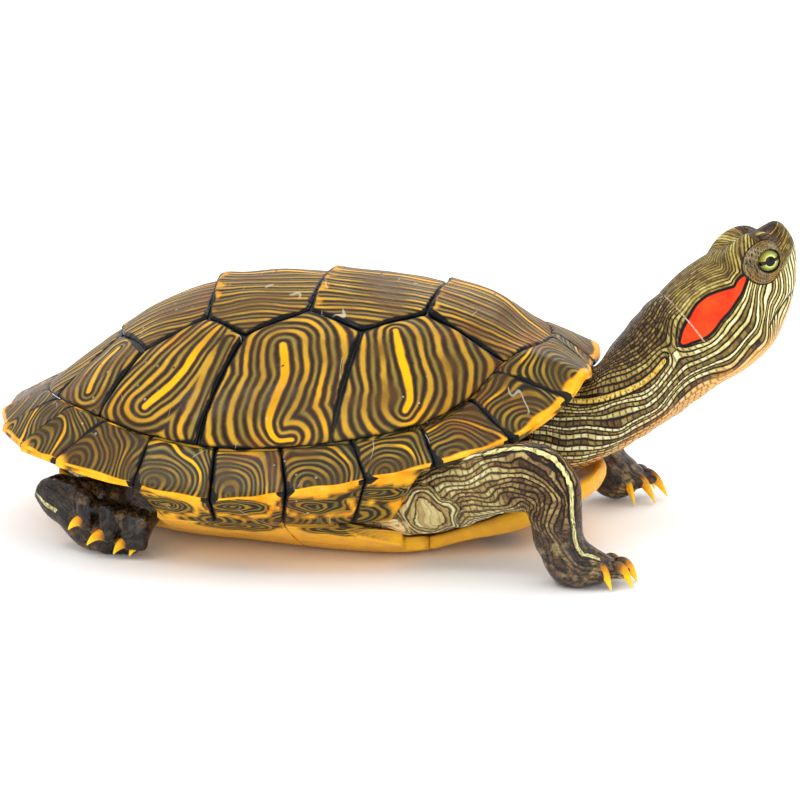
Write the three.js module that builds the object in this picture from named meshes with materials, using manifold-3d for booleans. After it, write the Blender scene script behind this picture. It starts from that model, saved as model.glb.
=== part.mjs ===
// Red-eared slider turtle, a still life-size model.
// Units are millimetres. +X is towards the head, +Y the turtle's left, +Z up.
// The origin lies on the flat under the breastplate, at the middle of the shell's length.
import * as THREE from 'three';
import Module from 'manifold-3d';
import { mergeVertices } from 'three/addons/utils/BufferGeometryUtils.js';

const wasm = await Module();
wasm.setup();

// ---------------------------------------------------------------- driving dimensions

const GAP = 0.3;            // clearance between neighbouring pieces
const DEG = Math.PI / 180;

// Shell seen from above: the rim and the seam between the big shields and the rim shields
// are both superellipses, a little wider behind than in front. The front edge is notched.
const SQUARE = 1 / 1.1;
const EGG = 0.07;
const RIM = { front: 79.3, rear: 79, side: 61, frontPower: SQUARE, rearPower: SQUARE };
const SEAM = { front: 66.5, rear: 67.5, side: 53, frontPower: 1, rearPower: SQUARE };
const NOTCH = { depth: 4, halfWidth: 13 };

// Heights, as [position, z]: rim by angle from the front, seam and back ridge by x.
const RIM_HEIGHT = curve([
  [0, 45], [8, 45.4], [14, 46.2], [18, 46.3], [21, 44], [26, 40.9], [35, 36.8], [43, 33.4],
  [59.4, 29.2], [72, 25.9], [85, 23], [96, 20.5], [110, 23], [129, 25.8], [142, 26.9],
  [156, 28.3], [168, 29.4], [180, 29.6],
]);
const SEAM_HEIGHT = curve([
  [-67.5, 36], [-62, 37.2], [-57, 37.4], [-46, 36.3], [-30, 33], [-10, 30.8], [7, 31.5],
  [23, 33], [39, 35.8], [46, 38.8], [50.2, 41.6], [53.5, 45.2], [56.8, 49], [61, 51.6],
  [66.5, 51.8],
]);
const RIDGE_HEIGHT = curve([
  [-67.5, 36], [-60, 41.2], [-50, 48], [-36, 56.6], [-22, 62.4], [-7, 65.7], [7, 66],
  [22, 66], [38, 63.3], [52, 58.9], [66.5, 51.8],
]);
const DOME_POWER = 0.75;
const PLATE = { thick: 2.5, swell: 0.5, edge: 9, wallSlope: 1.2, rings: [0.45, 0.82], under: 0.62 };
const SEAM_STEP = 5.5;      // degrees between points along the inner seam
// The worn rear lip of each back shield: its lift, and how wide and how sudden it is.
const REAR_LIPS = { lift: [1.7, 1.5, 2.2, 0.7, 0], halfWidth: 22, power: 5 };

// Seams of the back shields, as [x, half width] on the right or left side alike.
const RIDGE_SEAMS = [
  { middle: 38.4, corner: [36, 18.7] },
  { middle: 7.4, corner: [6.7, 22.9] },
  { middle: -21.8, corner: [-19.8, 23.8] },
  { middle: -49.7, corner: [-45.4, 14.5] },
];
const SIDE_CORNERS = [[21.3, 28.5], [-8.1, 31.9], [-34.5, 31.3]];
const SEAM_ANGLES = [30.5, 74.5, 101.3, 127.6, 148];

// Rim shields: the angle of each cross seam at the rim and at the inner seam.
const RIM_SEAMS = [
  [3.2, 3.4], [26.1, 33.5], [42.9, 41.5], [59.4, 54.5], [72, 70], [85, 85], [96, 97.5], [110, 112],
  [129, 125], [142, 138], [156, 146], [168, 160], [180, 180],
];
const RIM_SHIELD = { start: 0.58, swell: 0.7, edge: 2.2, thick: 3.4, reach: 0.25, step: 7.5 };
// Fractions of the rim's width at which its section turns: out along the top, then back below.
const RIM_TURNS = { top: [0.35, 0.75, 0.95], bottom: 0.93, bulge: 0.45, tuck: 0.55 };
const BRIDGE = { from: 66, to: 111, fade: 7, inner: -0.1, z: 12.7 };

// Breastplate: height of its underside along the middle, and where its ends lie by distance
// from the middle.
const BELLY_HEIGHT = curve([
  [-67.5, 13], [-55, 8], [-40, 3], [-25, 0.5], [-14, 0], [28, 0], [35, 0.2], [42, 1.2],
  [55, 4.4], [70, 9.6], [81, 15.5],
]);
const BELLY_FRONT = curve([[7, 81], [15, 76], [24, 66], [30, 50], [33, 38]]);
const BELLY_REAR = curve([[14, -67.5], [23, -60], [30, -45], [31, -34]]);
const BELLY_FLAT = curve([
  [-67.5, 9], [-40, 18], [-10, 22], [8, 27], [26, 29], [40, 26], [60, 15], [81, 5],
]);
const BELLY = { rise: 12.7, reach: 52, power: 1.5, thick: 3.5, lengths: 3, widths: 12, blunt: 1.5 };
// Wings that join the breastplate to the rim: from the plate's side to the tip.
const WING = { span: [-27, 34], side: 33, root: 42, tip: 51.1, flare: 8, inset: 1.9 };
const BELLY_BANDS = [
  { name: 'gular', from: [60, 0.75], to: [81, -0.25], wing: false },
  { name: 'humeral', from: [44, -0.15], to: [60, 0.75], wing: false },
  { name: 'pectoral', from: [10, -0.08], to: [44, -0.15], wing: true },
  { name: 'abdominal', from: [-27, -0.1], to: [10, -0.08], wing: true },
  { name: 'femoral', from: [-45, -0.2], to: [-27, -0.1], wing: false },
  { name: 'anal', from: [-68, 0.3], to: [-45, -0.2], wing: false },
];
const TRUNK = {
  front: 62, rear: -62, inset: 4.6, roof: 4.6, floor: 5.2, roofEdge: 0.8, steps: 11, across: 9,
};

// Neck rings, from the shell to the head: top [x, z], bottom [x, z], middle y, half width,
// and how far the ring has turned to the left.
const NECK_RINGS = [
  { top: [62.6, 46], bottom: [62.6, 13.8], y: 0, half: 20, turn: 0 },
  { top: [71, 43], bottom: [71, 16.4], y: 0, half: 18, turn: 0 },
  { top: [77, 43.6], bottom: [79.1, 20], y: 0.2, half: 15.2, turn: 4 },
  { top: [81.4, 50], bottom: [88.5, 25.4], y: 0.7, half: 13.6, turn: 9 },
  { top: [86.2, 56.8], bottom: [98, 32], y: 1.4, half: 12.9, turn: 14 },
  { top: [90.6, 62.2], bottom: [106.6, 38.4], y: 2, half: 12.5, turn: 19 },
];

// Head: its own frame starts at the back of the skull, pitched up and turned to the left.
const HEAD = { x: 101, y: 2.5, z: 51, pitch: 40, yaw: 22, neckGap: 3.6 };
// Rings along the head: station, top, bottom, half width.
const HEAD_RINGS = [
  [4, 15.4, -13.8, 12.2], [10, 15.7, -14.6, 12.6], [16, 14.7, -14.3, 12.1],
  [21, 13.2, -13.1, 11], [25, 11.6, -11.5, 9.9], [29, 10.5, -9.1, 8.7], [32, 9.8, -6.8, 7.3],
  [34.4, 9, -3.7, 5.9], [36, 7.7, -0.9, 4.4], [37.1, 5.6, 1.2, 2.4],
];
const HEAD_POWER = 2.3;
const HEAD_SIDES = 16;
const BROW_TAPER = 0.1;
// Side view of the lower jaw: the mouth line first, then round under the chin.
const JAW_OUTLINE = [
  [16.5, -7.4], [19, -6.6], [22, -6], [26.2, -5.9], [30.4, -6.7], [36, -8], [36, -20], [12, -20],
];
const EYE = { s: 27.6, t: 5.2, out: 6, radius: 3.9 };
// Brow over each eye: middle and radii along, out and up.
const BROW = { s: 26.3, out: 5.5, t: 6.4, along: 6.1, across: 4.3, tall: 5.3 };

const TAIL_STATIONS = [
  [-62.4, 0, 21, 5, 4.6], [-66.5, 2.5, 20.6, 4.2, 3.9], [-69.5, 8, 20, 3, 2.9],
  [-69, 14, 19.4, 2, 1.9], [-64.5, 20, 19, 0.8, 0.7],
];

// Legs: stations run from inside the shell to the foot, as
// [x, y, z, half thickness across, half thickness in the leg's own plane].
const FORE_RIGHT = {
  stations: [
    [34.5, -39.5, 16.8, 6.4, 7], [44, -42.8, 19.6, 6.6, 8], [54, -45.8, 23.2, 6.5, 8.2],
    [62, -47.6, 26, 6.3, 8.4], [68, -48.7, 26.2, 6.1, 8.4], [71.8, -49, 22.8, 5.9, 7.4],
    [72.9, -49.2, 17, 5.7, 6.3], [73.9, -49.2, 11, 5.9, 6], [76.2, -49, 5.8, 6.4, 5.2],
    [80.5, -48.6, 3, 6, 3.6], [84.5, -48.2, 2.9, 4.8, 2.8],
  ],
  toes: {
    palm: [80, -48.4], z: 4.8, heading: 6, step: 24, root: 3.4, radius: 2.4,
    reach: [8, 11.8, 12.9, 11.8, 9], claw: 4.6,
  },
};
const FORE_LEFT = {
  stations: [
    [38, 38, 17.2, 6.5, 7], [47, 37.5, 20, 6.6, 8], [57, 35.5, 22.5, 6.2, 7.6],
    [66, 33.4, 23, 5.8, 7.2], [73, 31.6, 20, 5.4, 6.4], [76.6, 30.6, 14, 5.3, 5.5],
    [78, 30, 8.8, 6, 5.6], [80, 30, 5.4, 6.6, 5.4], [84, 30.2, 3.8, 6.2, 4.2],
    [87, 30.4, 3, 4.8, 3],
  ],
  toes: {
    palm: [82.4, 30], z: 5.4, heading: 2, step: 27, root: 3.2, radius: 2.8,
    reach: [8.6, 10.6, 12.4, 11.6, 9], claw: 4.8,
  },
};
const HIND = {
  stations: [
    [-18, -30, 16, 5.5, 7.5], [-23, -36.5, 14.5, 5.2, 6.2], [-28, -40.4, 12, 4.6, 5],
    [-33, -42, 10, 4.2, 6.4], [-38, -42.6, 8.7, 4.2, 9.3], [-44, -43, 9.9, 4, 9.6],
    [-50, -43.6, 12.9, 3.7, 7.4], [-55, -44, 15.1, 3, 5.9], [-58.2, -44, 16.2, 1.8, 3.4],
  ],
  // claws of the first four toes: where each leaves the toe, and its tip
  toes: [
    { root: [-32.2, -45.6, 4.8], tip: [-34.9, -46.4, 0.7] },
    { root: [-35.8, -46.4, 4.4], tip: [-38.9, -46.8, 0.8] },
    { root: [-41, -47.2, 5.8], tip: [-45.4, -47.8, 3] },
    { root: [-46.8, -47.2, 8.6], tip: [-50.6, -47.6, 6.6] },
  ],
};
const TOE = { hindRadius: 2.4, sides: 6, bend: 0.6, taper: [0.95, 0.6], sideways: [0, 1, 0.2] };
const CLAW = { radius: 0.95, tipRadius: 0.22, sides: 6, sag: 0.7 };
const LIMB_SIDES = 10;

// ---------------------------------------------------------------- materials

const FINISHES = {
  shield: [0x4a3f22, 0.35], rim: [0xc98a24, 0.35], belly: [0xe0a63a, 0.4], skin: [0x4b4430, 0.6],
  head: [0x6b5f38, 0.5], eye: [0x9aa040, 0.1],
};

function finish(name) {
  const [color, roughness] = FINISHES[name];
  return new THREE.MeshStandardMaterial({ color, roughness, metalness: 0 });
}

// ---------------------------------------------------------------- small mathematics

function clamp(value, low, high) {
  return Math.min(high, Math.max(low, value));
}

function mix(a, b, t) {
  return a + (b - a) * t;
}

function smooth(low, high, value) {
  const t = clamp((value - low) / (high - low), 0, 1);
  return t * t * (3 - 2 * t);
}

/** A smooth curve through [position, value] pairs, held level past its ends. */
function curve(points) {
  const slope = (i) => {
    const a = points[Math.max(0, i - 1)];
    const b = points[Math.min(points.length - 1, i + 1)];
    return (b[1] - a[1]) / (b[0] - a[0]);
  };
  return (position) => {
    const last = points.length - 1;
    if (position <= points[0][0]) return points[0][1];
    if (position >= points[last][0]) return points[last][1];
    const i = points.findIndex((point) => point[0] > position) - 1;
    const [a, b] = [points[i], points[i + 1]];
    const h = b[0] - a[0];
    const t = (position - a[0]) / h;
    const [t2, t3] = [t * t, t * t * t];
    return (2 * t3 - 3 * t2 + 1) * a[1] + (t3 - 2 * t2 + t) * h * slope(i)
      + (3 * t2 - 2 * t3) * b[1] + (t3 - t2) * h * slope(i + 1);
  };
}

/** Moves a plan polygon inwards by d, or outwards where d is negative. */
function inset(points, d) {
  const count = points.length;
  let area = 0;
  points.forEach(([x, y], i) => {
    const [nx, ny] = points[(i + 1) % count];
    area += x * ny - nx * y;
  });
  const side = Math.sign(area);
  return points.map(([x, y], i) => {
    const before = points[(i + count - 1) % count];
    const after = points[(i + 1) % count];
    const a = new THREE.Vector2(x - before[0], y - before[1]).normalize();
    const b = new THREE.Vector2(after[0] - x, after[1] - y).normalize();
    const normal = new THREE.Vector2(-a.y - b.y, a.x + b.x).normalize();
    const miter = Math.max(0.5, normal.dot(new THREE.Vector2(-a.y, a.x)));
    return [x + (side * d * normal.x) / miter, y + (side * d * normal.y) / miter];
  });
}

// ---------------------------------------------------------------- solids

/** Builds a closed body from vertices and triangles, turned so that its faces point out. */
function closedBody(vertices, triangles) {
  const geometry = new THREE.BufferGeometry();
  geometry.setAttribute('position', new THREE.Float32BufferAttribute(vertices.flat(), 3));
  let volume = 0;
  triangles.forEach(([a, b, c]) => {
    const [p, q, r] = [a, b, c].map((i) => new THREE.Vector3(...vertices[i]));
    volume += p.dot(q.cross(r));
  });
  const order = volume > 0 ? triangles : triangles.map(([a, b, c]) => [a, c, b]);
  geometry.setIndex(order.flat());
  return geometry;
}

/** Joins equal rings of points into a closed body with a fan at each end. */
function loft(rings) {
  const count = rings[0].length;
  const vertices = rings.flat();
  const triangles = [];
  for (let r = 0; r + 1 < rings.length; r += 1) {
    for (let i = 0; i < count; i += 1) {
      const [a, b] = [r * count + i, r * count + ((i + 1) % count)];
      triangles.push([a, b, b + count], [a, b + count, a + count]);
    }
  }
  [[rings[0], 0, true], [rings[rings.length - 1], (rings.length - 1) * count, false]]
    .forEach(([ring, start, flip]) => {
      const middle = [0, 1, 2].map((k) => ring.reduce((sum, p) => sum + p[k], 0) / count);
      const centre = vertices.push(middle) - 1;
      for (let i = 0; i < count; i += 1) {
        const [a, b] = [start + i, start + ((i + 1) % count)];
        triangles.push(flip ? [centre, b, a] : [centre, a, b]);
      }
    });
  return closedBody(vertices, triangles);
}

/** A limb along stations [x, y, z, across, deep]; across lies along the given side vector. */
function limb(stations, sides, sideVector, grow = 0) {
  const points = stations.map(([x, y, z]) => new THREE.Vector3(x, y, z));
  const rings = stations.map(([, , , across, deep], i) => {
    const before = points[Math.max(0, i - 1)];
    const after = points[Math.min(points.length - 1, i + 1)];
    const along = after.clone().sub(before).normalize();
    const side = sideVector.clone().addScaledVector(along, -sideVector.dot(along)).normalize();
    const up = along.clone().cross(side);
    return Array.from({ length: sides }, (_, k) => {
      const turn = ((k + 0.5) / sides) * 2 * Math.PI;
      return points[i].clone()
        .addScaledVector(side, (across + grow) * Math.cos(turn))
        .addScaledVector(up, (deep + grow) * Math.sin(turn))
        .toArray();
    });
  });
  return loft(rings);
}

function toSolid(geometry) {
  const bare = new THREE.BufferGeometry();
  bare.setAttribute('position', geometry.getAttribute('position').clone());
  if (geometry.index) bare.setIndex(geometry.index.clone());
  const merged = mergeVertices(bare, 1e-4);
  return new wasm.Manifold(new wasm.Mesh({
    numProp: 3,
    vertProperties: new Float32Array(merged.getAttribute('position').array),
    triVerts: new Uint32Array(merged.index.array),
  }));
}

function toGeometry(solid) {
  const mesh = solid.getMesh();
  const geometry = new THREE.BufferGeometry();
  geometry.setAttribute('position', new THREE.BufferAttribute(mesh.vertProperties, 3));
  geometry.setIndex(new THREE.BufferAttribute(mesh.triVerts, 1));
  return geometry;
}

/** The solid less each of the cutters, which are already grown by the clearance. */
function carve(solid, cutters) {
  return cutters.reduce((rest, cutter) => rest.subtract(cutter), solid);
}

// ---------------------------------------------------------------- shell surface

/** Plan point of a superellipse at an angle from the front; negative is the right side. */
function ovalPoint(oval, angle) {
  const [c, s] = [Math.cos(angle * DEG), Math.sin(angle * DEG)];
  const [length, power] = c > 0 ? [oval.front, oval.frontPower] : [oval.rear, oval.rearPower];
  const x = length * Math.sign(c) * Math.abs(c) ** power;
  const y = oval.side * Math.sign(s) * Math.abs(s) ** power * (1 - EGG * c);
  return [x, y];
}

/** Half width of the shields' field at x. */
function fieldWidth(x) {
  const [length, power] = x > 0 ? [SEAM.front, SEAM.frontPower] : [SEAM.rear, SEAM.rearPower];
  const c = Math.sign(x) * clamp(Math.abs(x) / length, 0, 1) ** (1 / power);
  return SEAM.side * Math.sqrt(1 - c * c) ** power * (1 - EGG * c);
}

function domeHeight(x, y) {
  const t = clamp(Math.abs(y) / Math.max(fieldWidth(x), 0.5), 0, 1);
  const low = SEAM_HEIGHT(x);
  return low + (RIDGE_HEIGHT(x) - low) * (1 - t * t) ** DOME_POWER;
}

/** Outward normal of the dome, with steep walls held back to a set slope. */
function domeNormal(x, y) {
  const d = 0.4;
  const steep = PLATE.wallSlope;
  const dx = clamp((domeHeight(x + d, y) - domeHeight(x - d, y)) / (2 * d), -steep, steep);
  const dy = clamp((domeHeight(x, y + d) - domeHeight(x, y - d)) / (2 * d), -steep, steep);
  return new THREE.Vector3(-dx, -dy, 1).normalize();
}

function bellyHeight(x, y) {
  const flat = BELLY_FLAT(x);
  const t = clamp((Math.abs(y) - flat) / (BELLY.reach - flat), 0, 1.2);
  return Math.max(0, BELLY_HEIGHT(x)) + BELLY.rise * t ** BELLY.power;
}

/** A shield: rings of the plan outline about its middle, laid on a surface and thickened. */
function shield(outline, place, offset) {
  const count = outline.length;
  const cx = outline.reduce((sum, p) => sum + p[0], 0) / count;
  const cy = outline.reduce((sum, p) => sum + p[1], 0) / count;
  const ring = (f, put) => outline.map(([x, y]) => put(mix(cx, x, f), mix(cy, y, f), f));
  const top = (x, y, f) => place(x, y, f).toArray();
  const under = (x, y, f) => offset(x, y, place(x, y, f)).toArray();
  const rings = [
    ...PLATE.rings.map((f) => ring(f, top)), ring(1, top), ring(1, under), ring(PLATE.under, under),
  ];
  return loft(rings);
}

/** Points from a to b in plan, without b, no further apart than the set edge length. */
function straight(a, b) {
  const steps = Math.max(1, Math.round(Math.hypot(b[0] - a[0], b[1] - a[1]) / PLATE.edge));
  return Array.from({ length: steps }, (_, i) => [
    mix(a[0], b[0], i / steps), mix(a[1], b[1], i / steps),
  ]);
}

/** Points along the inner seam between two angles, without the last. */
function alongSeam(from, to) {
  const steps = Math.max(1, Math.round(Math.abs(to - from) / SEAM_STEP));
  return Array.from({ length: steps }, (_, i) => ovalPoint(SEAM, mix(from, to, i / steps)));
}

function polygon(corners) {
  return corners.flatMap((corner, i) => straight(corner, corners[(i + 1) % corners.length]));
}

function backShield(outline, lip, grow = 0) {
  const xs = outline.map(([x]) => x);
  const [front, rear] = [Math.max(...xs), Math.min(...xs)];
  const place = (x, y, f) => {
    const back = clamp((front - x) / (front - rear), 0, 1);
    const middle = clamp(1 - (y / REAR_LIPS.halfWidth) ** 2, 0, 1);
    const lift = PLATE.swell * (1 - f * f) + lip * back ** REAR_LIPS.power * middle + grow;
    return new THREE.Vector3(x, y, domeHeight(x, y)).addScaledVector(domeNormal(x, y), lift);
  };
  const offset = (x, y) => new THREE.Vector3(x, y, domeHeight(x, y))
    .addScaledVector(domeNormal(x, y), -PLATE.thick - grow);
  return shield(inset(outline, GAP / 2 - grow), place, offset);
}

const mirror = ([x, y]) => [x, -y];

/** Outline of back shield 1 to 5, counted from the neck. */
function vertebralOutline(index) {
  const front = RIDGE_SEAMS[index - 1];
  const rear = RIDGE_SEAMS[index];
  const angle = index === 0 ? SEAM_ANGLES[0] : SEAM_ANGLES[4];
  if (index === 0) {
    return [
      ...alongSeam(-angle, angle), ...straight(ovalPoint(SEAM, angle), rear.corner),
      ...straight(rear.corner, [rear.middle, 0]),
      ...straight([rear.middle, 0], mirror(rear.corner)),
      ...straight(mirror(rear.corner), ovalPoint(SEAM, -angle)),
    ];
  }
  if (index === 4) {
    return [
      ...alongSeam(angle, 360 - angle), ...straight(ovalPoint(SEAM, -angle), mirror(front.corner)),
      ...straight(mirror(front.corner), [front.middle, 0]),
      ...straight([front.middle, 0], front.corner),
      ...straight(front.corner, ovalPoint(SEAM, angle)),
    ];
  }
  const side = SIDE_CORNERS[index - 1];
  return polygon([
    [front.middle, 0], front.corner, side, rear.corner, [rear.middle, 0],
    mirror(rear.corner), mirror(side), mirror(front.corner),
  ]);
}

/** Outline of side shield 1 to 4 on the left; the right one is its mirror image. */
function costalOutline(index) {
  const [from, to] = [SEAM_ANGLES[index], SEAM_ANGLES[index + 1]];
  const behind = index < 3 ? [SIDE_CORNERS[index]] : [];
  const ahead = index > 0 ? [SIDE_CORNERS[index - 1]] : [];
  const ridge = [...behind, RIDGE_SEAMS[index].corner, ...ahead];
  const corners = [ovalPoint(SEAM, to), ...ridge, ovalPoint(SEAM, from)];
  const walls = corners.slice(0, -1).flatMap((corner, i) => straight(corner, corners[i + 1]));
  return [...alongSeam(from, to), ...walls];
}

// ---------------------------------------------------------------- rim shields

/** Cross section of the rim, from the inner seam out to the edge and back underneath. */
function rimSection(rimAngle, seamAngle, grow) {
  const side = Math.sign(rimAngle) || 1;
  const [rx, ry] = ovalPoint(RIM, rimAngle);
  const [ix, iy] = ovalPoint(SEAM, seamAngle);
  const notch = NOTCH.depth * Math.exp(-((ry / NOTCH.halfWidth) ** 2)) * (rx > 0 ? 1 : 0);
  const rimZ = RIM_HEIGHT(Math.abs(rimAngle));
  const seamZ = SEAM_HEIGHT(ix);
  const a = Math.abs(rimAngle);
  const bridge = smooth(BRIDGE.from - BRIDGE.fade, BRIDGE.from + BRIDGE.fade, a)
    * (1 - smooth(BRIDGE.to - BRIDGE.fade, BRIDGE.to + BRIDGE.fade, a));
  const width = Math.hypot(rx - notch - ix, ry - iy);
  const wall = domeNormal(ix, iy - side * RIM_SHIELD.start);
  const inward = Math.hypot(wall.x, wall.y) * PLATE.thick;
  const reach = mix(RIM_SHIELD.reach, BRIDGE.inner, bridge) * width;
  const underZ = mix(mix(seamZ, rimZ, RIM_SHIELD.reach) - RIM_SHIELD.thick, BRIDGE.z, bridge);
  const [inner, outer, last] = RIM_TURNS.top;
  const profile = [
    [RIM_SHIELD.start, seamZ],
    [inner * width, mix(seamZ, rimZ, inner) + RIM_SHIELD.swell],
    [outer * width, mix(seamZ, rimZ, outer) + RIM_SHIELD.swell],
    [last * width, rimZ + RIM_TURNS.bulge * RIM_SHIELD.edge],
    [width, rimZ],
    [RIM_TURNS.bottom * width, rimZ - RIM_TURNS.tuck * RIM_SHIELD.edge],
    [reach, underZ],
    [RIM_SHIELD.start - inward, seamZ - PLATE.thick * wall.z],
  ];
  return inset(profile, -grow).map(([out, z]) => {
    const t = out / width;
    return [mix(ix, rx - notch, t), mix(iy, ry, t), z];
  });
}

/** Rim shield between two cross seams; a negative side builds the right one. */
function rimShield(from, to, side, grow = 0) {
  const [start, end] = [[...from], [...to]];
  const margin = (GAP / 2 - grow) / SEAM.side / DEG;
  const steps = Math.max(2, Math.round(Math.abs(end[1] - start[1]) / RIM_SHIELD.step));
  const rings = Array.from({ length: steps + 1 }, (_, i) => {
    const t = i / steps;
    const shift = margin * (1 - 2 * t);
    const rimAngle = mix(start[0], end[0], t) + shift;
    const seamAngle = mix(start[1], end[1], t) + shift;
    return rimSection(side * rimAngle, side * seamAngle, grow);
  });
  return loft(rings);
}

function nuchal() {
  const [rimAngle, seamAngle] = RIM_SEAMS[0];
  return rimShield([-rimAngle, -seamAngle], [rimAngle, seamAngle], 1);
}

// ---------------------------------------------------------------- breastplate

/** Range of x that a band of the breastplate covers at a distance y from the middle. */
function bandSpan(band, y) {
  const [rear, front] = [band.from, band.to].map(([x, lean]) => x + lean * y);
  if (!band.wing) return [Math.max(rear, BELLY_REAR(y)), Math.min(front, BELLY_FRONT(y))];
  const flare = WING.flare * (1 - smooth(WING.side, WING.root, y));
  return [Math.max(rear, WING.span[0] - flare), Math.min(front, WING.span[1] + flare)];
}

/** Half width of a band: as far out as it is still longer than a blunt edge. */
function bandReach(band) {
  if (band.wing) return WING.tip;
  let y = 0;
  while (y < WING.side && bandSpan(band, y)[1] - bandSpan(band, y)[0] > BELLY.blunt) y += GAP;
  return y;
}

/** Lets the wings follow the rim: y as it is on the plate, drawn in beyond its side. */
function wingOut(x, y) {
  const beyond = Math.max(0, Math.abs(y) - WING.side);
  const share = (fieldWidth(x) - WING.inset - WING.side) / (WING.tip - WING.side);
  return Math.sign(y) * (Math.min(Math.abs(y), WING.side) + beyond * share);
}

function bellyBand(band, grow = 0) {
  const reach = bandReach(band) - GAP / 2 + grow;
  const rings = Array.from({ length: BELLY.widths + 1 }, (_, j) => {
    const across = mix(-reach, reach, j / BELLY.widths);
    const [rear, front] = bandSpan(band, Math.min(Math.abs(across), bandReach(band)));
    const xs = Array.from({ length: BELLY.lengths + 1 }, (__, i) => (
      mix(rear + GAP / 2 - grow, front - GAP / 2 + grow, i / BELLY.lengths)
    ));
    const points = xs.map((x) => [x, band.wing ? wingOut(x, across) : across]);
    const under = points.map(([x, y]) => [x, y, bellyHeight(x, y) - grow]);
    const over = points.map(([x, y]) => [x, y, bellyHeight(x, y) + BELLY.thick + grow]);
    return [...under, ...over.reverse()];
  });
  return loft(rings);
}

// ---------------------------------------------------------------- body and tail

/** The soft body between the back and the breastplate, open to the leg pockets. */
function trunk(grow = 0) {
  const rings = Array.from({ length: TRUNK.steps + 1 }, (_, i) => {
    const t = i / TRUNK.steps;
    const x = mix(TRUNK.rear - grow, TRUNK.front + grow, t);
    const full = fieldWidth(x);
    const half = full - TRUNK.inset + grow;
    const column = (j) => half * Math.sin((Math.PI / 2) * mix(-1, 1, j / TRUNK.across));
    const roof = (y) => domeHeight(x, (y * full) / (half + TRUNK.roofEdge)) - TRUNK.roof + grow;
    const floor = (y) => bellyHeight(x, y) + TRUNK.floor - grow;
    const columns = Array.from({ length: TRUNK.across + 1 }, (_, j) => column(j));
    const over = columns.map((y) => [x, y, roof(y)]);
    const under = [...columns].reverse().map((y) => [x, y, floor(y)]);
    return [...over, ...under];
  });
  return loft(rings);
}

function tail() {
  const whole = toSolid(limb(TAIL_STATIONS, 8, new THREE.Vector3(0, 0, 1)));
  return toGeometry(carve(whole, [toSolid(trunk(GAP))]));
}

// ---------------------------------------------------------------- head and neck

const [pitch, yaw] = [HEAD.pitch * DEG, HEAD.yaw * DEG];
const FORWARD = new THREE.Vector3(
  Math.cos(pitch) * Math.cos(yaw), Math.cos(pitch) * Math.sin(yaw), Math.sin(pitch),
);
const LEFTWARD = new THREE.Vector3(-Math.sin(yaw), Math.cos(yaw), 0);
const UPWARD = FORWARD.clone().cross(LEFTWARD);

/** Point of the head at s along it, l to its left and t above its axis. */
function headPoint(s, l, t) {
  return new THREE.Vector3(HEAD.x, HEAD.y, HEAD.z)
    .addScaledVector(FORWARD, s)
    .addScaledVector(LEFTWARD, l)
    .addScaledVector(UPWARD, t);
}

/** Unit cross section, [out, up]: a superellipse narrower at the brow than at the cheek. */
const HEAD_SECTION = Array.from({ length: HEAD_SIDES }, (_, k) => {
  const turn = ((k + 0.5) / HEAD_SIDES) * 2 * Math.PI;
  const [c, d] = [Math.cos(turn), Math.sin(turn)];
  const up = Math.sign(d) * Math.abs(d) ** (2 / HEAD_POWER);
  const out = Math.sign(c) * Math.abs(c) ** (2 / HEAD_POWER) * (1 - BROW_TAPER * up);
  return [out, up];
});

function headRing([s, top, bottom, half]) {
  const [middle, tall] = [(top + bottom) / 2, (top - bottom) / 2];
  return HEAD_SECTION.map(([out, up]) => headPoint(s, out * half, middle + up * tall).toArray());
}

function neck() {
  const rings = NECK_RINGS.map(({ top, bottom, y, half, turn }) => {
    const middle = [(top[0] + bottom[0]) / 2, (top[1] + bottom[1]) / 2];
    const left = [-Math.sin(turn * DEG) * half, Math.cos(turn * DEG) * half];
    return HEAD_SECTION.map(([out, up]) => [
      middle[0] + ((top[0] - bottom[0]) / 2) * up + left[0] * out,
      y + left[1] * out,
      middle[1] + ((top[1] - bottom[1]) / 2) * up,
    ]);
  });
  const [, top, bottom, half] = HEAD_RINGS[0];
  rings.push(headRing([HEAD.neckGap, top, bottom, half]));
  return loft(rings);
}

function eyeball(side, grow = 0) {
  const ball = new THREE.SphereGeometry(EYE.radius + grow, 12, 8);
  const centre = headPoint(EYE.s, side * EYE.out, EYE.t);
  ball.translate(centre.x, centre.y, centre.z);
  return ball;
}

/** A block with the lower jaw's side outline, wide enough to pass through the head. */
function jawBlock(grow) {
  const rings = [-20, 20].map((l) => inset(JAW_OUTLINE, -grow)
    .map(([s, t]) => headPoint(s, l, t).toArray()));
  return toSolid(loft(rings));
}

function brow(side) {
  const ball = new THREE.SphereGeometry(1, 12, 8);
  ball.scale(BROW.along, BROW.across, BROW.tall);
  ball.applyMatrix4(new THREE.Matrix4().makeBasis(FORWARD, LEFTWARD, UPWARD));
  ball.translate(...headPoint(BROW.s, side * BROW.out, BROW.t).toArray());
  return toSolid(ball);
}

function headPieces() {
  const bare = toSolid(loft(HEAD_RINGS.map(headRing)));
  const whole = bare.add(brow(1)).add(brow(-1));
  const sockets = [1, -1].map((side) => toSolid(eyeball(side, GAP)));
  return {
    skull: toGeometry(carve(whole, [jawBlock(GAP), ...sockets])),
    jaw: toGeometry(whole.intersect(jawBlock(0))),
  };
}

// ---------------------------------------------------------------- legs

/** A claw: a bent cone from its root to its tip. */
function claw(root, tip) {
  const middle = root.clone().lerp(tip, 0.5);
  middle.z += CLAW.sag;
  const station = (p, r) => [p.x, p.y, p.z, r, r];
  const stations = [
    station(root, CLAW.radius), station(middle, CLAW.radius * 0.75), station(tip, CLAW.tipRadius),
  ];
  return toSolid(limb(stations, CLAW.sides, new THREE.Vector3(...TOE.sideways)));
}

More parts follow.
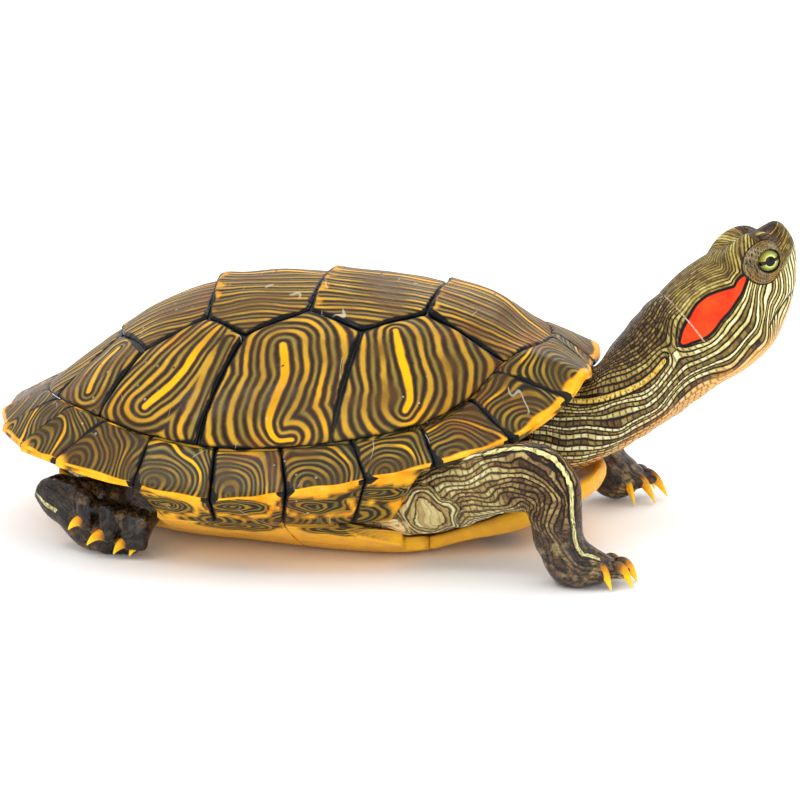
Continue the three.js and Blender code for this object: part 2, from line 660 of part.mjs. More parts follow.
function toe(from, to, radius) {
  const station = (p, r) => [p.x, p.y, p.z, r, r];
  const stations = [
    station(from, radius), station(from.clone().lerp(to, TOE.bend), radius * TOE.taper[0]),
    station(to, radius * TOE.taper[1]),
  ];
  return toSolid(limb(stations, TOE.sides, new THREE.Vector3(...TOE.sideways)));
}

/** Toes that spread round the front of a forefoot, counted from the turtle's right. */
function foreToes({ palm, z, heading, step, root, radius, reach, claw: clawLength }) {
  return reach.flatMap((length, i) => {
    const angle = (heading + (i - 2) * step) * DEG;
    const at = (r, height) => new THREE.Vector3(
      palm[0] + r * Math.cos(angle), palm[1] + r * Math.sin(angle), height,
    );
    const end = length - clawLength;
    return [
      toe(at(root - 1.5, z - 0.8), at(end + 0.8, z - 1), radius),
      claw(at(end - 0.6, z - 0.6), at(length, 0.6)),
    ];
  });
}

function hindToes(toes, side) {
  return toes.flatMap(({ root, tip }) => {
    const [a, b] = [root, tip].map(([x, y, z]) => new THREE.Vector3(x, -side * y, z));
    const back = a.clone().add(new THREE.Vector3(3, side * -2.5, 2.6));
    return [toe(back, a, TOE.hindRadius), claw(a.clone().lerp(back, 0.25), b)];
  });
}

/** Keeps what stands above the ground, so that the feet rest on small flats. */
function aboveGround(solid) {
  const block = new THREE.BoxGeometry(300, 300, 60);
  block.translate(0, 0, -30);
  return solid.subtract(toSolid(block));
}

function leg(stations, toes, cutters) {
  const flesh = toSolid(limb(stations, LIMB_SIDES, new THREE.Vector3(0, 1, 0)));
  const joined = toes.reduce((sum, piece) => sum.add(piece), flesh);
  return toGeometry(aboveGround(carve(joined, cutters)));
}

const mirrorStations = (stations) => stations.map(([x, y, z, a, b]) => [x, -y, z, a, b]);

/** Neighbours of a leg, grown by the clearance. */
function shellCutters(side, rimRange, bands) {
  const rim = rimRange.map((i) => toSolid(rimShield(RIM_SEAMS[i - 1], RIM_SEAMS[i], side, GAP)));
  const belly = BELLY_BANDS.filter(({ name }) => bands.includes(name))
    .map((band) => toSolid(bellyBand(band, GAP)));
  return [toSolid(trunk(GAP)), ...rim, ...belly];
}

// ---------------------------------------------------------------- assembly

const turtle = new THREE.Group();

function place(name, geometry, finishName) {
  const mesh = new THREE.Mesh(geometry, finish(finishName));
  mesh.name = name;
  turtle.add(mesh);
}

function buildShell() {
  place('nuchal', nuchal(), 'rim');
  for (let i = 0; i < 5; i += 1) {
    place(`vertebral_${i + 1}`, backShield(vertebralOutline(i), REAR_LIPS.lift[i]), 'shield');
  }
  [['left', 1], ['right', -1]].forEach(([name, side]) => {
    for (let i = 0; i < 4; i += 1) {
      const outline = costalOutline(i).map(([x, y]) => [x, side * y]);
      place(`costal_${name}_${i + 1}`, backShield(outline, 0), 'shield');
    }
    for (let i = 1; i < RIM_SEAMS.length; i += 1) {
      place(`marginal_${name}_${i}`, rimShield(RIM_SEAMS[i - 1], RIM_SEAMS[i], side), 'rim');
    }
  });
  BELLY_BANDS.forEach((band) => place(`plastron_${band.name}`, bellyBand(band), 'belly'));
}

function buildBody() {
  const { skull, jaw } = headPieces();
  place('trunk', trunk(), 'skin');
  place('neck', neck(), 'skin');
  place('head', skull, 'head');
  place('lower_jaw', jaw, 'head');
  place('eye_left', eyeball(1), 'eye');
  place('eye_right', eyeball(-1), 'eye');
  place('tail', tail(), 'skin');
}

function buildLegs() {
  [['left', 1, FORE_LEFT], ['right', -1, FORE_RIGHT]].forEach(([name, side, shape]) => {
    const cutters = shellCutters(side, [2, 3, 4, 5], ['humeral', 'pectoral']);
    place(`foreleg_${name}`, leg(shape.stations, foreToes(shape.toes), cutters), 'skin');
  });
  [['left', 1], ['right', -1]].forEach(([name, side]) => {
    const stations = side < 0 ? HIND.stations : mirrorStations(HIND.stations);
    const cutters = shellCutters(side, [7, 8, 9, 10], ['abdominal', 'femoral']);
    place(`hindleg_${name}`, leg(stations, hindToes(HIND.toes, side), cutters), 'skin');
  });
}

buildShell();
buildBody();
buildLegs();

export default turtle;
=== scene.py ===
"""Red-eared slider turtle: horny shields, skin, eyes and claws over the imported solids.

Lengths in the classes are millimetres and meshes are written in metres. +X points to the head,
+Y to the animal's left and +Z up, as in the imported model.
"""

import logging
import math
from dataclasses import dataclass, field
from enum import Enum
from typing import Callable, Iterable, Sequence, Union

import bpy
import numpy as np
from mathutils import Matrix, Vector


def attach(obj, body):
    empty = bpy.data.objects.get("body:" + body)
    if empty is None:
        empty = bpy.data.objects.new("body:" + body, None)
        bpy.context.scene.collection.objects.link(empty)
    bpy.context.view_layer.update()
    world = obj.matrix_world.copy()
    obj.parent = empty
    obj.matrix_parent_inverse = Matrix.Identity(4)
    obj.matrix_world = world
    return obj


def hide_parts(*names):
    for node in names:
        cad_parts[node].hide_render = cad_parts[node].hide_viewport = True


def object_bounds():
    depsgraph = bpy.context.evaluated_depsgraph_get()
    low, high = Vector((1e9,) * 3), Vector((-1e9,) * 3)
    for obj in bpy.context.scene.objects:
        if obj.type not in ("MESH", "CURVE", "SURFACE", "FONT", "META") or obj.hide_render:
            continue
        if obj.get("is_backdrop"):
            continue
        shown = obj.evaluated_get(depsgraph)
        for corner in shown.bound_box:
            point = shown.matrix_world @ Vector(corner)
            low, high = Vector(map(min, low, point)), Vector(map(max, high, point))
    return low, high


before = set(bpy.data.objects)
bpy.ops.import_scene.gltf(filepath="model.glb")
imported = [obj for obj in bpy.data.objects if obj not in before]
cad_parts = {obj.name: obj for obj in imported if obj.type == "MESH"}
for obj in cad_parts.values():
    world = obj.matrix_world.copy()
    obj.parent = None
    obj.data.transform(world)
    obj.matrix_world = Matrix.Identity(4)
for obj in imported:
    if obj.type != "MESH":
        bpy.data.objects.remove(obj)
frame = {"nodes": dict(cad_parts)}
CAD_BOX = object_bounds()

Array = np.ndarray
Number = Union[float, Array]
Colour = tuple[float, float, float]
Socket = bpy.types.NodeSocket
Input = Union[Socket, float, str, tuple]
Stops = Sequence[tuple[float, Union[str, Colour]]]
LOG = logging.getLogger("turtle")
MM = 0.001


class Side(Enum):
    """The two sides of the animal; the value is the sign of y."""

    LEFT = 1
    RIGHT = -1


# ------------------------------------------------------------------ small mathematics


def mix(a: Number, b: Number, t: Number) -> Number:
    """Blends a into b as t goes from 0 to 1."""
    return a + (b - a) * t


def smooth(low: float, high: float, value: Array) -> Array:
    """Eases from 0 at low to 1 at high."""
    t = np.clip((value - low) / (high - low), 0.0, 1.0)
    return t * t * (3.0 - 2.0 * t)


def bell(distance: Array, width: float) -> Array:
    """A bell curve of the given width: 1 at distance 0."""
    return np.exp(-((distance / width) ** 2))


def wander(points: Array, wavelength: float, seed: int, waves: int = 9) -> Array:
    """A soft random field: the mean of plane waves in seeded directions.

    Args:
        points: positions, with their coordinates in the last axis.
        wavelength: typical length of a wave, in millimetres.
        seed: number that picks the waves.
        waves: how many waves are summed.

    Returns:
        A value near -1 to 1 for each position.
    """
    rng = np.random.default_rng(seed)
    directions = rng.normal(size=(waves, points.shape[-1]))
    directions /= np.linalg.norm(directions, axis=1, keepdims=True)
    lengths = wavelength * rng.uniform(0.6, 1.6, waves)
    phases = rng.uniform(0.0, 2.0 * math.pi, waves)
    angle = points @ (directions.T * (2.0 * math.pi / lengths)) + phases
    return np.sin(angle).sum(axis=-1) / math.sqrt(waves)


def unit(vectors: Array) -> Array:
    """The vectors at length 1."""
    return vectors / np.maximum(np.linalg.norm(vectors, axis=-1, keepdims=True), 1e-9)


@dataclass(frozen=True)
class Curve:
    """A smooth curve through rows of (position, value, ...), held level past its ends."""

    points: tuple[tuple[float, ...], ...]

    def __call__(self, position: Number) -> Array:
        """The values at each position, by cubic Hermite pieces with neighbour slopes.

        Args:
            position: a number or an array of positions.

        Returns:
            One value per position, or one row where the points have several values.
        """
        table = np.asarray(self.points, float)
        x, y = table[:, 0], table[:, 1:]
        count = len(x)
        after = np.minimum(np.arange(count) + 1, count - 1)
        before = np.maximum(np.arange(count) - 1, 0)
        slope = (y[after] - y[before]) / (x[after] - x[before])[:, None]
        q = np.clip(np.asarray(position, float), x[0], x[-1])
        i = np.clip(np.searchsorted(x, q, side="right") - 1, 0, count - 2)
        h = (x[i + 1] - x[i])[..., None]
        t = (q - x[i])[..., None] / h
        value = (
            (2 * t**3 - 3 * t**2 + 1) * y[i]
            + (t**3 - 2 * t**2 + t) * h * slope[i]
            + (3 * t**2 - 2 * t**3) * y[i + 1]
            + (t**3 - t**2) * h * slope[i + 1]
        )
        return value[..., 0] if y.shape[1] == 1 else value


def distance_to_path(points: Array, path: Array) -> Array:
    """Shortest distance from each point to the straight pieces of a path.

    Args:
        points: positions, one per row.
        path: the path's corners, one per row.

    Returns:
        One distance per point.
    """
    nearest = np.full(len(points), np.inf)
    for a, b in zip(path[:-1], path[1:]):
        along = b - a
        t = np.clip((points - a) @ along / max(float(along @ along), 1e-9), 0.0, 1.0)
        gap = np.linalg.norm(points - (a + t[:, None] * along), axis=1)
        nearest = np.minimum(nearest, gap)
    return nearest


def resample(points: Array, count: int) -> Array:
    """A closed outline as evenly spaced points.

    Args:
        points: the outline's corners.
        count: how many points to give.

    Returns:
        The points, one per row.
    """
    closed = np.vstack([points, points[:1]])
    steps = np.linalg.norm(np.diff(closed, axis=0), axis=1)
    length = np.concatenate([[0.0], np.cumsum(steps)])
    at = np.linspace(0.0, length[-1], count, endpoint=False)
    return np.stack([np.interp(at, length, closed[:, k]) for k in range(points.shape[1])], axis=1)


def rounded(points: Array, passes: int) -> Array:
    """A closed outline with softened corners: each pass averages neighbours.

    Args:
        points: the outline's points.
        passes: how many times to soften.

    Returns:
        The softened outline.
    """
    for _ in range(passes):
        points = (np.roll(points, 1, 0) + 2 * points + np.roll(points, -1, 0)) / 4
    return points


def within(points: Array, outline: Array) -> Array:
    """Whether plane points lie inside a closed outline, by counting crossings.

    Args:
        points: plane points, one per row.
        outline: the outline's corners.

    Returns:
        True for each point inside.
    """
    inside = np.zeros(len(points), bool)
    x, y = points.T
    for (ax, ay), (bx, by) in zip(outline, np.roll(outline, -1, axis=0)):
        if ay != by:
            inside ^= ((ay > y) != (by > y)) & (x < ax + (y - ay) * (bx - ax) / (by - ay))
    return inside


def closed_curve(corners: Array, at: Array) -> Array:
    """Closed Catmull-Rom curves: each value is a cubic blend of the four corners nearest to it.

    Args:
        corners: the corners' values, one row per curve.
        at: positions along the curve, a whole number at each corner.

    Returns:
        One row of values per curve.
    """
    k, t = at.astype(int), at % 1
    weights = [-0.5 * t + t**2 - 0.5 * t**3, 1 - 2.5 * t**2 + 1.5 * t**3,
               0.5 * t + 2 * t**2 - 1.5 * t**3, -0.5 * t**2 + 0.5 * t**3]
    return sum(w * corners[:, (k + n - 1) % corners.shape[1]] for n, w in enumerate(weights))


def count_lines(far: Array, lines: Sequence[float], step: float) -> Array:
    """How many lines lie nearer than each distance; past the last they lie a step apart."""
    return np.interp(far, lines, np.arange(len(lines))) + np.maximum(far - lines[-1], 0.0) / step


def padded(values: Array, count: int, end: float) -> Array:
    """The values followed by count copies of an end value."""
    return np.concatenate([values, np.full(count, end)])


def put(values: dict[str, Array], where: Array, **changes: Number) -> None:
    """Changes named values where a mask is true."""
    values.update({key: np.where(where, new, values[key]) for key, new in changes.items()})


def inset(points: Array, distance: float) -> Array:
    """A closed plan outline moved inwards along its own normals.

    Args:
        points: the outline's points.
        distance: how far to move in.

    Returns:
        The smaller outline.
    """
    along = unit(np.roll(points, -1, 0) - np.roll(points, 1, 0))
    x, y = points[:, 0], points[:, 1]
    turn = np.sign(np.sum(x * np.roll(y, -1) - y * np.roll(x, -1)))
    return points + turn * distance * np.stack([-along[:, 1], along[:, 0]], axis=1)


# ------------------------------------------------------------------ meshes


def grid_faces(rows: int, columns: int, wrap: bool, start: int = 0) -> Array:
    """Quads over a grid of points stored row by row.

    Args:
        rows: number of rows.
        columns: number of points in a row.
        wrap: whether each row closes on itself.
        start: index of the grid's first point.

    Returns:
        Four indices per quad.
    """
    i = np.arange(rows - 1)[:, None]
    j = np.arange(columns if wrap else columns - 1)[None, :]
    k = (j + 1) % columns
    quads = np.stack([i * columns + j, i * columns + k, (i + 1) * columns + k,
                      (i + 1) * columns + j], axis=-1)
    return quads.reshape(-1, 4) + start


def fan_faces(ring: Array, centre: int, flip: bool) -> Array:
    """Triangles from a ring of indices to a centre index.

    Args:
        ring: the ring's indices.
        centre: the middle point's index.
        flip: whether to turn the triangles over.

    Returns:
        Three indices per triangle.
    """
    after = np.roll(ring, -1)
    middle = np.full_like(ring, centre)
    order = [middle, after, ring] if flip else [middle, ring, after]
    return np.stack(order, axis=1)


@dataclass
class Surface:
    """Points in millimetres, their faces and their named values."""

    points: Array
    faces: list[Array]
    values: dict[str, Array] = field(default_factory=dict)

    def outward(self) -> "Surface":
        """The same closed surface with its faces turned to point out.

        Returns:
            The surface itself.
        """
        volume = 0.0
        for face in self.faces:
            for k in range(1, face.shape[1] - 1):
                p, q, r = (self.points[face[:, n]] for n in (0, k, k + 1))
                volume += float(np.einsum("ij,ij->i", p, np.cross(q, r)).sum())
        if volume < 0:
            self.faces = [face[:, ::-1] for face in self.faces]
        return self

    def write(self, name: str) -> bpy.types.Object:
        """Puts the surface into the scene as an object at the origin.

        Args:
            name: the object's and the mesh's name.

        Returns:
            The new object, smooth shaded.
        """
        mesh = bpy.data.meshes.new(name)
        sizes = np.concatenate([np.full(len(f), f.shape[1]) for f in self.faces])
        corners = np.concatenate([f.ravel() for f in self.faces]).astype(np.int32)
        mesh.vertices.add(len(self.points))
        mesh.vertices.foreach_set("co", (self.points * MM).astype(np.float32).ravel())
        mesh.loops.add(len(corners))
        mesh.loops.foreach_set("vertex_index", corners)
        mesh.polygons.add(len(sizes))
        starts = np.concatenate([[0], np.cumsum(sizes)[:-1]]).astype(np.int32)
        mesh.polygons.foreach_set("loop_start", starts)
        mesh.polygons.foreach_set("use_smooth", np.ones(len(sizes), bool))
        mesh.update(calc_edges=True)
        for key, value in self.values.items():
            layer = mesh.attributes.new(key, "FLOAT", "POINT")
            layer.data.foreach_set("value", np.asarray(value, np.float32).ravel())
        piece = bpy.data.objects.new(name, mesh)
        bpy.context.scene.collection.objects.link(piece)
        return piece


def closed_rings(rings: Array) -> Surface:
    """Joins rings of points into one closed surface with a fan at each end.

    Args:
        rings: rings, points in a ring, coordinates.

    Returns:
        The surface; its last two points are the fans' centres.
    """
    count, size = rings.shape[:2]
    centres = rings[[0, -1]].mean(axis=1)
    points = np.vstack([rings.reshape(-1, 3), centres])
    first = np.arange(size)
    last = (count - 1) * size + first
    faces = [
        grid_faces(count, size, True),
        np.vstack([fan_faces(first, count * size, True), fan_faces(last, count * size + 1, False)]),
    ]
    return Surface(points, faces)


def joined(surfaces: Sequence[Surface]) -> Surface:
    """Several surfaces as one, each still closed on its own.

    Args:
        surfaces: closed surfaces with the same named values.

    Returns:
        One surface with all their points, faces and values.
    """
    points, faces, start = [], [], 0
    for surface in surfaces:
        points.append(surface.points)
        faces += [face + start for face in surface.faces]
        start += len(surface.points)
    keys = surfaces[0].values.keys()
    values = {key: np.concatenate([s.values[key] for s in surfaces]) for key in keys}
    return Surface(np.vstack(points), faces, values)


def place(surface: Surface, name: str, material: bpy.types.Material,
          stands_for: Sequence[str] = ()) -> bpy.types.Object:
    """Writes a surface as a finished piece of the animal.

    Args:
        surface: the closed surface.
        name: the piece's name.
        material: the finish it wears.
        stands_for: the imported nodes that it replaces.

    Returns:
        The piece.
    """
    piece = surface.outward().write(name)
    piece.data.materials.append(material)
    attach(piece, "root")
    if stands_for:
        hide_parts(*stands_for)
    LOG.info("%s: %d faces", name, len(piece.data.polygons))
    return piece


# ------------------------------------------------------------------ finishes


class Paint:
    """A material whose nodes are written as nested calls."""

    def __init__(self, name: str) -> None:
        """Starts an empty material with one principled shader.

        Args:
            name: the material's name.
        """
        self.material = bpy.data.materials.new(name)
        self.material.use_nodes = True
        self.tree = self.material.node_tree
        self.tree.nodes.clear()
        self.shader = self.tree.nodes.new("ShaderNodeBsdfPrincipled")
        output = self.tree.nodes.new("ShaderNodeOutputMaterial")
        self.tree.links.new(self.shader.outputs[0], output.inputs[0])
        self.position = self.tree.nodes.new("ShaderNodeTexCoord").outputs["Object"]

    def feed(self, socket: Socket, value: Input) -> None:
        """Links a socket to another, or sets it to a number or a hex colour.

        Args:
            socket: the input to fill.
            value: what it gets.
        """
        if isinstance(value, Socket):
            self.tree.links.new(value, socket)
        else:
            socket.default_value = (*srgb(value), 1.0) if isinstance(value, str) else value

    def node(self, kind: str, inputs: dict[str | int, Input], **settings: str) -> bpy.types.Node:
        """Adds a node.

        Args:
            kind: the node's type, without its first word.
            inputs: what each named or numbered input gets.
            settings: the node's own options.

        Returns:
            The new node.
        """
        node = self.tree.nodes.new(f"ShaderNode{kind}")
        for key, setting in settings.items():
            setattr(node, key, setting)
        for key, value in inputs.items():
            self.feed(node.inputs[key], value)
        return node

    def value(self, name: str) -> Socket:
        """A named value of the mesh."""
        return self.node("Attribute", {}, attribute_name=name).outputs["Fac"]

    def math(self, kind: str, a: Input, b: Input = 0.0, c: Input = 0.0) -> Socket:
        """A sum, product or other operation on numbers."""
        return self.node("Math", {0: a, 1: b, 2: c}, operation=kind).outputs[0]

    def plus(self, a: Input, b: Input) -> Socket:
        """The sum of two numbers."""
        return self.math("ADD", a, b)

    def times(self, a: Input, b: Input) -> Socket:
        """The product of two numbers."""
        return self.math("MULTIPLY", a, b)

    def between(self, low: float, high: float, value: Input) -> Socket:
        """Eases from 0 at low to 1 at high."""
        inputs = {"Value": value, "From Min": low, "From Max": high}
        return self.node("MapRange", inputs, interpolation_type="SMOOTHSTEP").outputs["Result"]

    def noise(self, scale: float, detail: float = 3.0, vector: Socket | None = None) -> Socket:
        """Soft random values from 0 to 1 at the given number of waves in a metre."""
        inputs = {"Vector": vector or self.position, "Scale": scale, "Detail": detail}
        return self.node("TexNoise", inputs).outputs["Fac"]

    def jitter(self, scale: float, detail: float, amount: float) -> Socket:
        """Soft random values about 0, amount from the lowest to the highest."""
        return self.math("MULTIPLY_ADD", self.noise(scale, detail), amount, -amount / 2)

    def random(self, x: Input, y: Input) -> Socket:
        """One random value for each pair of numbers."""
        pair = self.node("CombineXYZ", {0: x, 1: y}).outputs[0]
        return self.node("TexWhiteNoise", {"Vector": pair}, noise_dimensions="2D").outputs["Value"]

    def cells(self, scale: float, feature: str) -> Socket:
        """Distance to the nearest cell centre (F1) or cell wall (DISTANCE_TO_EDGE)."""
        inputs = {"Vector": self.position, "Scale": scale}
        return self.node("TexVoronoi", inputs, feature=feature).outputs["Distance"]

    def cell_tone(self, scale: float) -> Socket:
        """One random value for each cell."""
        return self.node("TexVoronoi", {"Vector": self.position, "Scale": scale}).outputs["Color"]

    def stretched(self, scale: tuple[float, float, float], degrees: float) -> Socket:
        """The position scaled along each axis, after a turn about z in degrees."""
        turn = (0.0, 0.0, math.radians(degrees))
        return self.node("Mapping", {"Vector": self.position, "Rotation": turn, "Scale": scale}).outputs[0]

    def ramp(self, value: Input, stops: Stops, blend: str = "LINEAR") -> Socket:
        """Colours by value.

        Args:
            value: the number to look up.
            stops: rising positions from 0 to 1, each with its colour.
            blend: how a colour goes over into the next one.

        Returns:
            The colour.
        """
        node = self.node("ValToRGB", {"Fac": value})
        node.color_ramp.interpolation = blend
        elements = node.color_ramp.elements
        for _ in range(len(stops) - 2):
            elements.new(0.5)
        for element, (position, colour) in zip(elements, stops):
            element.position = position
            element.color = (*(srgb(colour) if isinstance(colour, str) else colour), 1.0)
        return node.outputs["Color"]

    def blend(self, amount: Input, a: Input, b: Input, kind: str = "MIX") -> Socket:
        """Colour a with b laid over it."""
        inputs = {"Factor": amount, 6: a, 7: b}
        return self.node("Mix", inputs, data_type="RGBA", blend_type=kind).outputs[2]

    def bump(self, height: Input, depth: float, under: Socket | None = None) -> Socket:
        """A normal raised by height, which is depth metres at 1, over another one."""
        inputs = {"Distance": depth, "Height": height}
        return self.node("Bump", inputs | ({"Normal": under} if under is not None else {})).outputs[0]

    def finish(self, **sockets: Input) -> bpy.types.Material:
        """Feeds the shader's sockets.

        Args:
            sockets: what each gets, with _ for a space in its name.

        Returns:
            The material.
        """
        for name, value in sockets.items():
            self.feed(self.shader.inputs[name.replace("_", " ")], value)
        return self.material


def srgb(code: str) -> Colour:
    """A hex colour as linear light."""
    parts = [int(code[i:i + 2], 16) / 255 for i in (0, 2, 4)]
    return tuple(p / 12.92 if p <= 0.04045 else ((p + 0.055) / 1.055) ** 2.4 for p in parts)


@dataclass(frozen=True)
class HornFinish:
    """Glossy horn with whorled lines, dark seams, scratches and specks.

    The mesh gives whorl (lines counted outwards), tone (how bright they are), edge
    (millimetres to the seam), band (how far the surface is the bright rim) and blot.
    """

    name: str
    dark: str = "281f17"
    brown: str = "5a3f1e"
    olive: str = "82722e"
    yellow: str = "bd9228"
    bright: str = "f7b000"
    rim: str = "ff9a00"
    amber: str = "ffc22e"
    cloud: str = "3b2a1a"
    rust: str = "6e3416"
    seam: str = "0c0d10"
    chalk: str = "cfc8b4"
    film: str = "8b8272"
    roughness: float = 0.3
    dust: float = 0.25

    def lines(self, wide: str, thin: str) -> Stops:
        """One period of the pattern: a wide light line, a dark one, a thin light one, a dark one.

        Args:
            wide: colour of the wide line.
            thin: colour of the thin line.

        Returns:
            The ramp's stops.
        """
        dark, brown = self.dark, self.brown
        return [
            (0.0, wide), (0.08, wide), (0.17, brown), (0.23, dark), (0.32, dark), (0.39, brown),
            (0.46, thin), (0.54, thin), (0.61, brown), (0.68, dark), (0.77, dark), (0.83, brown),
            (0.92, wide), (1.0, wide),
        ]

    def pattern(self, p: Paint, whorl: Socket) -> Socket:
        """The lines with their clouds, rust, bright rim, blots and seams.

        Args:
            p: the paint to add to.
            whorl: the count of lines.

        Returns:
            The colour.
        """
        share = p.math("FRACT", whorl)
        plain = p.ramp(share, self.lines(self.yellow, self.olive))
        lit = p.ramp(share, self.lines(self.bright, self.yellow))
        patchy = p.plus(p.value("tone"), p.jitter(130.0, 4.0, 0.9))
        colour = p.blend(p.between(0.45, 1.0, patchy), plain, lit)
        colour = p.blend(p.times(p.between(0.45, -0.1, patchy), 0.75), colour, self.brown)
        cloud = p.between(0.48, 0.75, p.noise(34.0, 4.0))
        colour = p.blend(p.times(cloud, 0.5), colour, self.cloud)
        edge = p.value("edge")
        rust = p.times(p.between(8.0, 1.0, edge), p.between(0.48, 0.72, p.noise(60.0, 3.0)))
        colour = p.blend(p.times(rust, 0.5), colour, self.rust)
        rim = p.ramp(p.noise(260.0, 4.0), [(0.3, self.rim), (0.7, self.amber)])
        colour = p.blend(p.value("band"), colour, rim)
        blot = p.plus(p.value("blot"), p.jitter(300.0, 3.0, 0.7))
        colour = p.blend(p.between(0.42, 0.6, blot), colour, self.dark)
        ragged = p.plus(edge, p.jitter(170.0, 5.0, 2.4))
        return p.blend(p.between(1.15, 0.5, ragged), colour, self.seam)

    def worn(self, p: Paint, colour: Socket) -> Socket:
        """The colour with specks, curled scratches and a film of dust.

        Args:
            p: the paint to add to.
            colour: the clean colour.

        Returns:
            The worn colour.
        """
        specks = p.between(0.14, 0.1, p.cells(330.0, "F1"))
        specks = p.times(specks, p.between(0.56, 0.66, p.noise(45.0, 2.0)))
        swirl = p.noise(1.0, 1.0, p.stretched((90, 40, 60), 30))
        curl = p.math("ABSOLUTE", p.math("SUBTRACT", swirl, 0.5))
        scratch = p.times(p.between(0.006, 0.002, curl), p.between(0.58, 0.64, p.noise(110.0, 2.0)))
        marks = p.math("MAXIMUM", specks, scratch)
        colour = p.blend(p.times(marks, self.dust * 2), colour, self.chalk)
        film = p.times(p.between(0.45, 0.85, p.noise(24.0, 5.0)), self.dust * 0.25)
        return p.blend(film, colour, self.film)

    def relief(self, p: Paint, whorl: Socket) -> Socket:
        """Ridges beside the lines, finer growth ridges and slow waves.

        Args:
            p: the paint to add to.
            whorl: the count of lines.

        Returns:
            The normal.
        """
        growth = p.math("PINGPONG", p.times(whorl, 4.0), 0.5)
        grain = p.times(p.noise(1500.0, 2.0), 0.25)
        ridges = p.math("MULTIPLY_ADD", p.math("PINGPONG", whorl, 0.25), 1.2, grain)
        ridges = p.math("MULTIPLY_ADD", growth, 0.3, ridges)
        return p.bump(p.noise(210.0, 4.0), 0.0007, p.bump(ridges, 0.00022))

    def build(self) -> bpy.types.Material:
        """The horn's material.

        Returns:
            The finished material.
        """
        p = Paint(self.name)
        whorl = p.plus(p.value("whorl"), p.jitter(300.0, 3.0, 0.14))
        colour = self.worn(p, self.pattern(p, whorl))
        rough = p.math("MULTIPLY_ADD", p.noise(90.0, 5.0), 0.3, self.roughness - 0.12)
        return p.finish(Base_Color=colour, Roughness=rough, Normal=self.relief(p, whorl),
                        Coat_Weight=0.06, Coat_Roughness=0.06, Specular_IOR_Level=0.08)


@dataclass(frozen=True)
class SeamFinish:
    """Black horn in the grooves between the shields."""

    name: str = "horn_seam"
    colour: str = "121317"
    pale: str = "2c2a28"

    def build(self) -> bpy.types.Material:
        """The groove's material.

        Returns:
            The finished material.
        """
        p = Paint(self.name)
        tint = p.ramp(p.noise(300.0, 4.0), [(0.3, self.colour), (0.75, self.pale)])
        normal = p.bump(p.noise(900.0, 4.0), 0.0003)
        return p.finish(Base_Color=tint, Roughness=0.3, Normal=normal, Coat_Weight=0.15,
                        Coat_Roughness=0.12, Specular_IOR_Level=0.3)


@dataclass(frozen=True)
class SkinChart:
    """Where a point of the skin lies in the bands, scales and rings round the eye.

    across and lengthwise go from 0 at a band's or scale's edge to 1 at its middle, seams is 1
    on the seam between two scales, joints is the distance to the edge of a foot's plate and
    rings goes up and down with the rings of the eyelids.
    """

    stripe: Socket
    scale_tone: Socket
    across: Socket
    lengthwise: Socket
    seams: Socket
    joints: Socket
    rings: Socket


